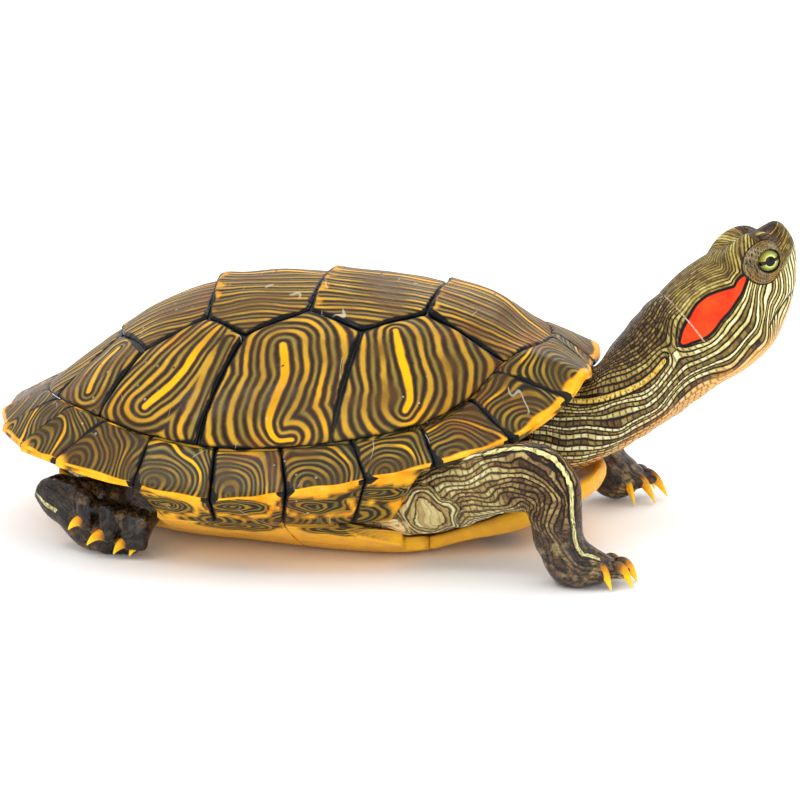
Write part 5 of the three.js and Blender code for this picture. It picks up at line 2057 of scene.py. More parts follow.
@dataclass(frozen=True)
class Forefoot:
    """Toes that spread round the front of a palm, counted from the animal's right."""

    palm: tuple[float, float]
    height: float
    heading: float
    step: float
    root: float
    radius: float
    reach: tuple[float, ...]
    claw: float
    rise: float

    def point(self, angle: float, reach: float, height: float) -> Array:
        """A point at an angle and a reach from the palm's middle."""
        return np.array([self.palm[0] + reach * math.cos(angle),
                         self.palm[1] + reach * math.sin(angle), height])

    def parts(self) -> tuple[tuple, tuple]:
        """The toes and the claws.

        Returns:
            Toes as (root, end, radius) and claws as (root, tip).
        """
        toes, claws = [], []
        for i, length in enumerate(self.reach):
            angle = math.radians(self.heading + (i - 2) * self.step)
            end = length - self.claw
            root = self.point(angle, self.root - 1.5, self.height + 0.5)
            toes.append((root, self.point(angle, end + 0.8, self.height - 1.2), self.radius))
            claw = self.point(angle, end - 0.6, self.height + self.rise)
            claws.append((claw, self.point(angle, length, 0.5)))
        return tuple(toes), tuple(claws)


@dataclass
class Anatomy:
    """All the flesh: trunk, neck and head, tail and four legs."""

    form: ShellForm
    head: HeadAndNeck = field(default_factory=HeadAndNeck)
    trunk_end: float = 62.0
    trunk_inset: float = 4.6
    trunk_roof: float = 4.6
    trunk_floor: float = 5.2
    roof_edge: float = 0.8
    tail_stations: tuple = (
        (-58.0, -0.6, 21.2, 5.6, 5), (-62.4, 0, 21, 5, 4.6), (-66.5, 2.5, 20.6, 4.2, 3.9),
        (-69.5, 8, 20, 3, 2.9), (-69, 14, 19.4, 2, 1.9), (-64.5, 20, 19, 0.8, 0.7))
    right_arm: tuple = (
        (34.5, -39.5, 15.6, 6.4, 7.8), (44, -42.8, 18.8, 6.6, 8.6), (54, -45.8, 23.2, 6.5, 8.2),
        (62, -47.6, 26, 6.3, 8.4), (68, -48.7, 26.2, 6.1, 8.4), (71.8, -49, 22.8, 5.9, 7.4),
        (72.9, -49.2, 17, 5.7, 6.3), (73.9, -49.2, 11, 5.9, 6), (76.2, -49, 6.4, 6.6, 6),
        (79.8, -48.4, 5.0, 6.4, 4.8), (83.2, -47.8, 4.2, 5.4, 3.8))
    left_arm: tuple = (
        (38, 38, 17.2, 6.5, 7), (47, 37.5, 20, 6.6, 8), (57, 35.5, 22.5, 6.2, 7.6),
        (66, 33.4, 23, 5.8, 7.2), (73, 31.6, 20, 5.4, 6.4), (76.6, 30.6, 14.6, 5.4, 5.8),
        (78.6, 30, 9.6, 6.0, 6.2), (80.4, 30.4, 7.4, 6.4, 6.6), (82.2, 30.8, 6.2, 5.8, 5.4),
        (83.4, 31, 5.2, 4.6, 4.2))
    hind_leg: tuple = (
        (-18, -30, 17, 5.5, 6.5), (-23, -36.5, 15.6, 5, 5.2), (-28, -39.4, 14.8, 4.4, 3.4),
        (-33.4, -42, 11.4, 4.2, 5.6), (-38, -42.6, 8.7, 4.2, 9.3), (-44, -43, 9.9, 4, 9.6),
        (-50, -43.6, 12.9, 3.7, 7.4), (-55, -44, 15.1, 3, 5.9), (-58.2, -44, 16.2, 1.8, 3.4))
    # Hind claws: where each leaves the toe, and its tip.
    hind_claws: tuple = (
        ((-31.6, -47.4, 3.9), (-34.7, -48, 1.1)), ((-34.6, -48.2, 4.4), (-38.6, -48.8, 1.6)),
        ((-39.8, -48.8, 6.4), (-45.2, -49.6, 3.9)), ((-45.6, -48.6, 9.4), (-50.0, -49.4, 7.6)))
    hind_toe_back: tuple[float, float, float] = (-0.6, 1.5, 6.0)
    hind_toe_radius: float = 2.6
    # Horny knobs beside the hind claws, with their radius.
    hind_knobs: tuple = ((-51.6, -45.6, 9.4), (-43.8, -47.6, 6.9), (-37.6, -47.4, 4.1))
    knob_radius: float = 1.15
    right_foot: Forefoot = Forefoot(
        palm=(80, -48.4), height=4.9, heading=16, step=26, root=3.4, radius=2.2,
        reach=(8.6, 12, 13, 11.8, 9), claw=3.6, rise=0.2)
    left_foot: Forefoot = Forefoot(
        palm=(81, 31), height=7.0, heading=13, step=32, root=3.4, radius=2.7,
        reach=(9.2, 11.8, 14.4, 14.4, 9.5), claw=5.2, rise=0.0)

    def foreleg(self, side: Side) -> Limb:
        """The foreleg of one side, each posed on its own.

        Args:
            side: the side it lies on.

        Returns:
            The limb with its toes and claws.
        """
        arm, foot = ((self.left_arm, self.left_foot) if side is Side.LEFT
                     else (self.right_arm, self.right_foot))
        toes, claws = foot.parts()
        return Limb(f"foreleg_{side.name.lower()}", arm, toes=toes, claws=claws, outward=side.value)

    def hindleg(self, side: Side) -> Limb:
        """The hind leg of one side; the left mirrors the right.

        Args:
            side: the side it lies on.

        Returns:
            The limb with its toes, knobs and claws.
        """
        mirror = np.array([1.0, -side.value, 1.0])
        stations = tuple((x, -side.value * y, z, a, b) for x, y, z, a, b in self.hind_leg)
        claws = tuple((np.array(root) * mirror, np.array(tip) * mirror) for root, tip in self.hind_claws)
        back = np.array(self.hind_toe_back) * mirror
        toes = tuple((root + back, root, self.hind_toe_radius) for root, _ in claws)
        knobs = [np.array(knob) * mirror for knob in self.hind_knobs]
        toes += tuple((knob, knob + [0.9, 0.0, 0.9], self.knob_radius) for knob in knobs)
        name = f"hindleg_{side.name.lower()}"
        return Limb(name, stations, toes=toes, claws=claws, outward=side.value)

    def limbs(self) -> list[Limb]:
        """The tail, the forelegs and the hind legs."""
        tail = Limb("tail", self.tail_stations, (0.0, 0.0, 1.0))
        return [tail, *map(self.foreleg, Side), *map(self.hindleg, Side)]

    def trunk(self, x: Array, y: Array, z: Array) -> Array:
        """Signed distance to the trunk on a grid: it follows the dome and the breastplate.

        Args:
            x: the grid's places along the body.
            y: its places across it.
            z: its heights.

        Returns:
            One distance per sample, negative inside.
        """
        plan_x, plan_y = np.meshgrid(x, y, indexing="ij")
        full = self.form.field_width(plan_x)
        half = full - self.trunk_inset
        spread = plan_y * full / np.maximum(half + self.roof_edge, 1)
        roof = self.form.dome(plan_x, spread) - self.trunk_roof
        floor = self.form.belly(plan_x, plan_y) + self.trunk_floor
        plan = np.maximum(np.abs(plan_y) - half, np.abs(plan_x) - self.trunk_end)
        tall = np.maximum(z - roof[..., None], floor[..., None] - z)
        return np.maximum(tall, plan[..., None])


@dataclass
class SkinGrid:
    """Sample points of the flesh: fine round the head, coarse where the shell hides it."""

    x_steps: tuple = ((-74, 0.85), (-14, 2.2), (30, 0.78), (99, 0.5), (108, 0.4), (133, 0.0))
    y_steps: tuple = ((-57, 0.75), (-14, 0.55), (-8, 0.42), (22, 0.6), (27, 0.8), (54, 0.0))
    z_steps: tuple = ((-1.3, 0.68), (46, 0.43), (84, 0.0))
    chunk: int = 300000
    skip: int = 4
    far: float = 5.5
    # The corners of one cell.
    corners: tuple = tuple((i, j, k) for i in (0, 1) for j in (0, 1) for k in (0, 1))

    def __post_init__(self) -> None:
        """Lays out the three axes."""
        self.axes = [
            np.concatenate([np.arange(a, b - 1e-6, step) for (a, step), (b, _) in zip(rows, rows[1:])])
            for rows in (self.x_steps, self.y_steps, self.z_steps)
        ]

    def add(self, value: Array, box: tuple[Array, Array], distance: Callable, blend: float) -> None:
        """Merges a body into the sampled distances inside a box.

        Args:
            value: the sampled distances, changed in place.
            box: low and high corners of the body's surroundings.
            distance: gives a signed distance per point.
            blend: width of the fillet.
        """
        cut = tuple(slice(*np.searchsorted(axis, ends)) for axis, *ends in zip(self.axes, *box))
        part = value[cut]
        local = [axis[s] for axis, s in zip(self.axes, cut)]
        coarse = [axis[::self.skip] for axis in local]
        look = self.measure(np.stack(np.meshgrid(*coarse, indexing="ij"), axis=-1), distance)
        nearest = [np.minimum((np.arange(len(a)) + self.skip // 2) // self.skip, len(c) - 1)
                   for a, c in zip(local, coarse)]
        out = look[np.ix_(*nearest)]
        close = np.argwhere(np.abs(out) < self.far)
        points = np.stack([axis[close[:, n]] for n, axis in enumerate(local)], axis=1)
        out[tuple(close.T)] = self.measure(points, distance)
        value[cut] = merge(part, out, blend)

    def measure(self, points: Array, distance: Callable) -> Array:
        """Distances of an array of points of any shape, worked out in chunks.

        Args:
            points: positions, with their coordinates in the last axis.
            distance: gives a signed distance per point.

        Returns:
            One distance per position.
        """
        flat = points.reshape(-1, 3)
        parts = [distance(flat[k:k + self.chunk]) for k in range(0, len(flat), self.chunk)]
        return np.concatenate(parts).reshape(points.shape[:-1])

    def corner_points(self, cells: Array, corner: Sequence[int]) -> Array:
        """Where one corner of each cell lies."""
        return np.stack([axis[cells[:, n] + corner[n]] for n, axis in enumerate(self.axes)], axis=1)

    def crossings(self, value: Array, cells: Array) -> Array:
        """The mean of the places where the surface crosses each cell's twelve edges.

        Args:
            value: the sampled distances.
            cells: indices of the cells that it crosses, one row per cell.

        Returns:
            One point per cell.
        """
        summed, count = np.zeros((len(cells), 3)), np.zeros(len(cells))
        for low in self.corners:
            for n in range(3):
                if low[n]:
                    continue
                high = tuple(1 if m == n else low[m] for m in range(3))
                a = value[tuple((cells + low).T)]
                b = value[tuple((cells + high).T)]
                crossed = (a < 0) != (b < 0)
                t = np.where(crossed, a / np.where(crossed, a - b, 1), 0)
                start, end = self.corner_points(cells, low), self.corner_points(cells, high)
                summed += crossed[:, None] * mix(start, end, t[:, None])
                count += crossed
        return summed / count[:, None]

    def quads_round(self, inside: Array, index: Array) -> Array:
        """A quad of the four cells round each grid edge that the surface crosses.

        Args:
            inside: whether each sample lies in the flesh.
            index: number of each cell's point, or -1.

        Returns:
            Four point numbers per quad.
        """
        quads = []
        for n in range(3):
            o, p = (n + 1) % 3, (n + 2) % 3
            low, high = [slice(1, -1)] * 3, [slice(1, -1)] * 3
            low[n], high[n] = slice(0, -1), slice(1, None)
            a, b = inside[tuple(low)], inside[tuple(high)]
            for first, flip in ((a & ~b, False), (b & ~a, True)):
                edge = np.argwhere(first)
                edge[:, [o, p]] += 1
                around = []
                for d, e in ((1, 1), (0, 1), (0, 0), (1, 0)):
                    cell = edge.copy()
                    cell[:, o] -= d
                    cell[:, p] -= e
                    around.append(index[tuple(cell.T)])
                quad = np.stack(around, axis=1)
                quads.append(quad[:, ::-1] if flip else quad)
        return np.vstack(quads)

    def surface(self, value: Array) -> tuple[Array, Array]:
        """The surface where the sampled distance is 0, one point per cell that it crosses.

        Args:
            value: the sampled distances.

        Returns:
            Points and quads.
        """
        inside = value < 0
        total = np.zeros(tuple(n - 1 for n in value.shape), np.int8)
        nx, ny, nz = value.shape
        for i, j, k in self.corners:
            total += inside[i:nx - 1 + i, j:ny - 1 + j, k:nz - 1 + k]
        cells = np.argwhere((total > 0) & (total < 8))
        index = np.full(total.shape, -1, np.int32)
        index[tuple(cells.T)] = np.arange(len(cells))
        return self.crossings(value, cells), self.quads_round(inside, index)


def relaxed(points: Array, quads: Array, passes: int, amount: float) -> Array:
    """Moves each point towards the mean of its neighbours along the quads' edges.

    Args:
        points: the surface's points.
        quads: its faces.
        passes: how many times to move them.
        amount: share of the way to the mean.

    Returns:
        The moved points.
    """
    a = quads.ravel()
    b = np.roll(quads, -1, axis=1).ravel()
    ends, others = np.concatenate([a, b]), np.concatenate([b, a])
    count = np.bincount(ends, minlength=len(points))
    for _ in range(passes):
        mean = np.stack([np.bincount(ends, points[others, k], len(points)) for k in range(3)], 1)
        points = points + amount * (mean / count[:, None] - points)
    return points


@dataclass
class Skin:
    """One skin over all the flesh, with the values its markings are painted from."""

    anatomy: Anatomy
    grid: SkinGrid = field(default_factory=SkinGrid)
    ground: float = 0.03
    hidden_share: float = 0.06
    section_steps: int = 96
    head_box: tuple = ((61.0, -22.0, 8.0), (133.0, 24.0, 84.0))
    neck_blend: float = 4.0
    # The pouch behind a foreleg: its middle as (x, z), its size and its dark rings.
    pouch: tuple[float, float] = (40.4, 15.4)
    pouch_size: float = 7.6
    pouch_rings: tuple[float, ...] = (3.4, 4.9, 5.9, 6.8)
    # Values that only the markings need, and the paint doesn't.
    working: tuple[str, ...] = ("along", "turn", "kind", "head")

    def sample(self) -> Array:
        """Signed distances of all the flesh on the grid.

        Returns:
            One distance per sample, cut off level at the floor.
        """
        x, y, z = self.grid.axes
        value = self.anatomy.trunk(x, y, z).astype(np.float32)
        self.grid.add(value, self.head_box, self.anatomy.head.distance, self.neck_blend)
        for limb in self.anatomy.limbs():
            self.grid.add(value, limb.box(), limb.distance, limb.blend)
        return np.maximum(value, (self.ground - z)[None, None])

    def thin(self, points: Array, quads: Array) -> tuple[Array, Array]:
        """Drops most of the points that the shell hides, with Blender's decimator.

        Args:
            points: the surface's points.
            quads: its faces.

        Returns:
            The points that are left and the triangles between them.
        """
        mesh = bpy.data.meshes.new("thinned")
        mesh.from_pydata(points, [], quads.tolist())
        piece = bpy.data.objects.new("thinned", mesh)
        bpy.context.scene.collection.objects.link(piece)
        form = self.anatomy.form
        x, y, z = points.T
        deep = np.minimum(form.dome(x, y) - z, z - form.belly(x, y))
        deep = np.minimum(deep, form.field_width(x) - np.abs(y))
        hidden = np.flatnonzero((deep > 2.6) & (np.abs(x) < 60.5))
        group = piece.vertex_groups.new(name="hidden")
        group.add(hidden.tolist(), 1.0, "REPLACE")
        thinning = piece.modifiers.new("thin", "DECIMATE")
        thinning.vertex_group = "hidden"
        kept = len(points) - len(hidden)
        thinning.ratio = min(1.0, (kept + self.hidden_share * len(hidden)) / len(points))
        evaluated = piece.evaluated_get(bpy.context.evaluated_depsgraph_get())
        result = evaluated.to_mesh()
        result.calc_loop_triangles()
        out = np.empty(len(result.vertices) * 3, np.float32)
        result.vertices.foreach_get("co", out)
        faces = np.empty(len(result.loop_triangles) * 3, np.int32)
        result.loop_triangles.foreach_get("vertices", faces)
        evaluated.to_mesh_clear()
        bpy.data.objects.remove(piece)
        bpy.data.meshes.remove(mesh)
        return out.reshape(-1, 3).astype(float), faces.reshape(-1, 3)

    def section_height(self, station: Array, angle: Array) -> Array:
        """Millimetres round the section from its side point, up positive.

        Args:
            station: stations along head and neck.
            angle: angles round the section.

        Returns:
            One arc length per point, the same on both sides.
        """
        head = self.anatomy.head
        at = np.linspace(head.station[0], head.station[-1], 80)
        rows = head.path(at).reshape(-1, 3, 3)
        tall, wide = np.linalg.norm(rows[:, 1], axis=1), np.linalg.norm(rows[:, 2], axis=1)
        turn = np.linspace(-math.pi / 2, math.pi / 2, self.section_steps)
        up = np.sign(turn) * np.abs(np.sin(turn)) ** (2 / head.power)
        out = np.abs(np.cos(turn)) ** (2 / head.power) * (1 - head.taper * up)
        edge = np.stack([wide[:, None] * out, tall[:, None] * up], axis=-1)
        run = np.cumsum(np.linalg.norm(np.diff(edge, axis=1), axis=-1), axis=1)
        run = np.concatenate([np.zeros((len(at), 1)), run], axis=1)
        run -= run[:, [self.section_steps // 2]]
        i = np.interp(station, at, np.arange(len(at)))
        folded = np.arctan2(np.sin(angle), np.abs(np.cos(angle)))
        j = np.interp(folded, turn, np.arange(self.section_steps))
        i0 = np.clip(i.astype(int), 0, len(at) - 2)
        j0 = np.clip(j.astype(int), 0, self.section_steps - 2)
        fi, fj = i - i0, j - j0
        low = mix(run[i0, j0], run[i0, j0 + 1], fj)
        return mix(low, mix(run[i0 + 1, j0], run[i0 + 1, j0 + 1], fj), fi)

    def markings(self, points: Array) -> dict[str, Array]:
        """Values for the skin's paint at each point.

        Args:
            points: positions, one per row.

        Returns:
            Named values: along and lane place a point in its part's own chart, near is the
            distance to the ear patch, and the rest say how far a point belongs to a part.
        """
        head = self.anatomy.head
        value, station, angle = head.sweep(points)
        height = self.section_height(station, angle)
        q = head.frame.to_head(points)
        values = {"along": station, "lane": height, "near": np.full(len(points), 20.0)}
        best = np.where(points[:, 0] > 60, value, 50.0)
        values["head"] = np.ones(len(points))
        values["foot"], values["turn"], values["kind"] = np.zeros((3, len(points)))
        knobs = [np.linalg.norm(points * [1, -side.value, 1] - np.array(knob) - 0.3, axis=1)
                 for side in Side for knob in self.anatomy.hind_knobs]
        values["knob"] = np.minimum(np.min(knobs, axis=0), 9.0)
        for limb in self.anatomy.limbs():
            low, high = limb.box()
            inside = ((points > low) & (points < high)).all(axis=1)
            distance, along, turn = np.full((3, len(points)), 99.0)
            distance[inside], along[inside], turn[inside] = limb.chart(points[inside])
            toes = [limb.toe(points[inside], *toe) for toe in limb.toes]
            if toes:
                distance[inside] = np.minimum(distance[inside], np.min(toes, axis=0))
            closer = distance < best
            best = np.where(closer, distance, best)
            line, _, half = limb.centre_line()
            end = np.linalg.norm(np.diff(line, axis=0), axis=1).sum()
            kind = {"f": 2.0, "h": 3.0}.get(limb.name[0], 1.0)
            put(values, closer, along=along, lane=turn * half.mean(), turn=turn, head=0.0, kind=kind,
                foot=smooth(end - 24, end - 10, along))
        put(values, (best > 3.0) & (points[:, 0] < 78.0), head=0.0, kind=0.0, foot=0.0)
        values["limb"] = 1.0 - values["head"]
        ball = np.hypot(q[:, 0] - head.eye[0], q[:, 2] - head.eye[2]) - 2.9
        rim = np.maximum(-head.orbit_gap(q), -3.0)
        share = np.where(rim > -2.5, ball / np.maximum(ball + rim, 0.2), 3.0)
        values["lid"] = np.where((np.abs(q[:, 1]) > 3.6) & (values["head"] > 0.5), share, 3.0)
        lips = np.where(station > 10, head.mouth_gap(q), 9.0)
        values["mouth"] = np.minimum(lips, 9.0)
        self.mark_head(points, values)
        self.mark_limbs(points, values)
        return {key: value for key, value in values.items() if key not in self.working}

    def mark_head(self, points: Array, values: dict[str, Array]) -> None:
        """Ear patch, gold stripe and the bands that run round them on head and neck.

        The chart is the station against millimetres round the section. Patch and stripe are
        signed distances in it, and the other values ease in and out along its two axes.

        Args:
            points: positions, one per row.
            values: the named values, changed in place.
        """
        head = self.anatomy.head
        chart = np.column_stack([values["along"], values["lane"]])
        station, height = chart.T
        on_head = values["head"] > 0.5
        outline = rounded(resample(np.array(head.patch, float), 160), 4)
        patch = distance_to_path(chart, np.vstack([outline, outline[:1]]))
        patch = np.where(within(chart, outline), -patch, patch)
        stripe = distance_to_path(chart, np.array(head.stripe, float)) - head.stripe_half
        values["near"] = np.where(on_head, patch, 20.0)
        values["gold"] = np.where(on_head, stripe, 20.0)
        away = merge(patch, stripe, 3.0) + 0.55 * wander(points, 13.0, 5) * smooth(9, -6, station)
        away = np.maximum(away + 0.3 * wander(points, 8.0, 6) * smooth(0.8, 4.0, away), 0.0)
        bridge = self.mark_bands(chart, away, values)
        neck = smooth(6.0, -12.0, station)
        throat = smooth(-9.5, -13.5, height) * smooth(-34, -26, station) * on_head
        roof = smooth(8.0, 12.0, height) * smooth(-2.0, 6.0, station)
        cheek = smooth(13.0, 21.0, station) * smooth(5.0, 2.0, height)
        values["lined"] = (1 - 0.8 * throat) * (1 - 0.4 * roof) * (1 - 0.45 * bridge)
        values["even"] = 0.9 * throat
        values["tint"] = 0.22 * cheek + 0.25 * throat - 0.02 * neck - 0.16 * bridge + 0.05 * roof
        values["tint"] += neck * mix(0.12, -0.04, smooth(-7.0, 5.0, height))
        values["wan"] = 0.4 * smooth(4.0, -10.0, station)
        values["warm"] = smooth(-7.0, -12.5, height + 1.2 * wander(points, 9.0, 12)) * 0.95
        values["fold"] = np.where(on_head & (height > 0), np.abs(station - head.fold), 9.0)

    def mark_bands(self, chart: Array, away: Array, values: dict[str, Array]) -> Array:
        """Counts the bands of head and neck.

        A band's number is how many dark lines lie between a point and the ear patch or the
        gold stripe. Its own list of distances says where the lines are below the spine line,
        on the cheek and above. Over the snout the bands count upwards and run straight back.

        Args:
            chart: station and millimetres round the section, one row per point.
            away: distance to the ear patch or the gold stripe.
            values: the named values, changed in place.

        Returns:
            How far each point belongs to the snout's top.
        """
        head = self.anatomy.head
        station, height = chart.T
        spine = np.interp(station, *np.array(head.spine, float).T)
        under = smooth(-0.35, 0.35, spine - height)
        snout = smooth(28.0, 33.0, station)
        neck = smooth(6.0, -12.0, station)
        away = away * (1 + 0.35 * snout)
        lower = count_lines(away * (1 + 0.25 * neck), head.lower_lines, 1.6)
        cheek = count_lines(away / (1 + 0.25 * snout), head.cheek_lines, 1.3)
        lower = mix(lower, cheek, smooth(13.0, 21.0, station))
        over = np.minimum(away, distance_to_path(chart, np.array(head.brow_line, float)))
        upper = count_lines(1.15 * over / (1 + 0.25 * neck), head.upper_lines, 0.9)
        ahead = station - 30.0
        level = height + 0.45 * ahead
        level = height + (0.3 + 0.058 * np.clip(level - 2.7, -2.0, 8.0)) * ahead
        bridge = smooth(28.0, 30.5, station) * smooth(-1.4, 0.4, level)
        bands = mix(upper, lower, under > 0.5)
        values["stripe"] = mix(bands, level / head.nose_period + 4.0, bridge)
        values["under"] = under * (1 - bridge)
        values["scale"] = station / 1.6
        values["scaly"] = smooth(6.0, -2.0, station)
        lines = np.min([np.abs(level - at) for at in head.nose_stripes], axis=0)
        on_nose = (values["head"] > 0.5) & (bridge > 0.5)
        values["nose"] = np.where(on_nose, lines - head.nose_half, 9.0)
        return bridge

    def mark_limbs(self, points: Array, values: dict[str, Array]) -> None:
        """Bands, scales and tints on legs, tail and the bare skin between them.

        The bands of a limb count round it, so they run along it. Where a foreleg joins the
        body they close into rings about the middle of a pouch, and on bare skin they lie level.

        Args:
            points: positions, one per row.
            values: the named values, changed in place.
        """
        limb = values["head"] < 0.5
        kind, along, turn = values["kind"], values["along"], values["turn"]
        arm, hind, bare = kind == 2.0, kind == 3.0, kind == 0.0
        x, y, z = points[:, 0], np.abs(points[:, 1]), points[:, 2]
        drift = wander(points, 7.0, 8) * 0.5
        upper = smooth(36.0, 24.0, along) * arm

        # The pouch: rings about its middle, with a crease round the outermost.
        pit = np.hypot(x - self.pouch[0], (z - self.pouch[1]) * 0.95) + 1.1 * wander(points, 7.0, 33)
        loops = (pit < self.pouch_size) & (y > 36) & (x < 50)
        crease = np.where(limb & (y > 36), np.abs(pit - self.pouch_size), 9.0)
        values["mouth"] = np.minimum(values["mouth"], crease + 0.1)
        inner = pit - 0.8 * smooth(39.0, 43.0, x)
        middle, *others = self.pouch_rings
        rings = np.interp(inner, self.pouch_rings, 5.0 + np.arange(1 + len(others)))
        rings = np.where(inner < middle, 4.5, rings)

        # The bands along the limb, on both sides of the gold stripe.
        band = values["lane"] - 6.8 * (0.8 + 0.42 * smooth(48.0, 34.0, along))
        stripe = 6.0 + band / np.where(arm, 1.35, 1.6) + 0.9 * drift + 0.5 * wander(points, 12.0, 10)
        stripe = np.where(bare, 6.0 + z / 1.8 + 2 * drift, stripe)
        size = np.where(arm & (np.abs(band) < 0.9), 5.5, 1.6)
        even = 0.5 * upper + 0.1 * loops + 0.3 * loops * (inner < middle) + 0.4 * bare
        put(values, limb, stripe=np.where(loops, rings, stripe),
            under=np.where(arm, 0.3 + 0.7 * upper, 0.4),
            scale=along / size + 0.3 * wander(points, 8.0, 9), scaly=0.8 - 0.45 * loops, wan=1.0,
            even=np.clip(even, 0.0, 0.75))

        # Tints: pale folds, dark feet and the yellow skin at a foreleg's root.
        root = (y > 40) & (x < 36.4) & (z < 13.0) & ~hind
        pale = 0.06 * upper - 0.02 * loops + 0.06 * bare + 0.3 * smooth(14.0, 6.0, along) * hind
        pale += 0.2 * bell(turn + 1.25, 0.4) * arm * smooth(10.0, 16.0, along) * smooth(44.0, 36.0, along)
        values["foot"] = np.where(hind, smooth(12.0, 20.0, along), values["foot"])
        values["hind"] = np.where(hind, 1.0, 0.0)
        put(values, limb, lined=(1.0 - 0.15 * upper) * (1 - bare) * ~root, warm=root * 0.45,
            tint=pale - 0.14 - 0.12 * values["foot"] + 0.4 * root)

        # Gold stripe down a foreleg, and the short one behind a hind foot.
        reach = smooth(24.0, 27.0, along) * smooth(67.0, 65.0, along) * arm
        gold = np.abs(band) - 0.7 * reach + 3.0 * (1 - reach)
        edge = np.abs(values["lane"] - 3.8 + 0.4 * drift) - 0.7
        edge = edge + 4.0 * (np.abs(along - 45.5) > 4.0)
        put(values, limb, gold=np.where(arm, gold, np.where(hind, edge, 20.0)))

    def build(self, material: bpy.types.Material) -> bpy.types.Object:
        """Makes the skin and lets it stand for all the flesh.

        Args:
            material: the finish that it wears.

        Returns:
            The skin.
        """
        points, quads = self.grid.surface(self.sample())
        LOG.info("flesh: %d quads", len(quads))
        points = relaxed(points, quads, 3, 0.45)
        points, faces = self.thin(points, quads)
        surface = Surface(points, [faces], self.markings(points))
        flesh = ["trunk", "neck", "head", "lower_jaw", "tail", "foreleg_left", "foreleg_right",
                 "hindleg_left", "hindleg_right"]
        return place(surface, "skin", material, flesh)


# ------------------------------------------------------------------ eyes and claws


@dataclass
class Eyes:
    """Two wet eyeballs with a slight cornea, looking out to the sides."""

    head: HeadAndNeck
    rings: int = 90
    around: int = 96
    cornea_radius: float = 3.1
    cornea_rise: float = 0.22

    def build(self, material: bpy.types.Material) -> None:
        """Makes both eyes: rings of a sphere about the line of sight, raised at the cornea.

        Args:
            material: the finish that they wear.
        """
        forward, left, up = self.head.frame.axes
        for side in Side:
            turn = np.linspace(0.002, math.pi - 0.002, self.rings)
            spin = np.linspace(0, 2 * math.pi, self.around, endpoint=False)
            wide = self.head.eye_radius * np.sin(turn)
            rise = self.cornea_rise * (1 - smooth(0.35, 1.0, wide / self.cornea_radius)) * (turn < 1.5)
            deep = self.head.eye_radius * np.cos(turn) + rise
            out = left * side.value
            ring = np.cos(spin)[:, None] * forward + np.sin(spin)[:, None] * up
            rings = deep[:, None, None] * out + wide[:, None, None] * ring
            surface = closed_rings(rings + self.head.eye_centre(side))
            flat = surface.points - self.head.eye_centre(side)
            surface.values = {
                "ahead": flat @ forward, "above": flat @ up,
                "radius": np.hypot(flat @ forward, flat @ up),
            }
            name = f"eye_{side.name.lower()}"
            place(surface, f"eyeball_{side.name.lower()}", material, [name])


@dataclass
class Claws:
    """Curved horny claws, one piece for each foot."""

    limbs: Sequence[Limb]
    rings: int = 18
    around: int = 18
    radius: float = 1.75
    tip: float = 0.16
    sag: float = 1.25
    taper: float = 1.8
    narrow: float = 0.82
    buried: float = 0.15

    def claw(self, root: Array, tip: Array) -> Surface:
        """One claw: rings along a bent path, thinning to the tip and deeper than wide.

        Args:
            root: where it leaves the toe.
            tip: its point.

        Returns:
            The closed surface; far goes from 0 at the root to 1 at the tip.
        """
        root, tip = np.asarray(root, float), np.asarray(tip, float)
        t = np.linspace(-self.buried, 1, self.rings)[:, None]
        path = root + t * (tip - root) + [0, 0, 1] * (4 * self.sag * t * (1 - t))
        along = unit(np.gradient(path, axis=0))
        side = unit(np.cross(along, [0.0, 0.0, 1.0]))
        up = np.cross(side, along)
        spin = np.linspace(0, 2 * math.pi, self.around, endpoint=False)
        size = mix(self.radius, self.tip, np.clip(t, 0, 1) ** self.taper)[:, :, None]
        cos, sin = np.cos(spin)[None, :, None], np.sin(spin)[None, :, None]
        ring = self.narrow * cos * side[:, None] + sin * up[:, None]
        surface = closed_rings(path[:, None] + size * ring)
        far = np.repeat(t.ravel(), self.around)
        surface.values = {"far": np.concatenate([far, [-self.buried, 1.0]])}
        return surface

    def build(self, material: bpy.types.Material) -> None:
        """Makes the claws of every foot.

        Args:
            material: the finish that they wear.
        """
        for limb in self.limbs:
            if limb.claws:
                claws = joined([self.claw(*claw).outward() for claw in limb.claws])
                place(claws, f"claws_{limb.name}", material)


# ------------------------------------------------------------------ studio


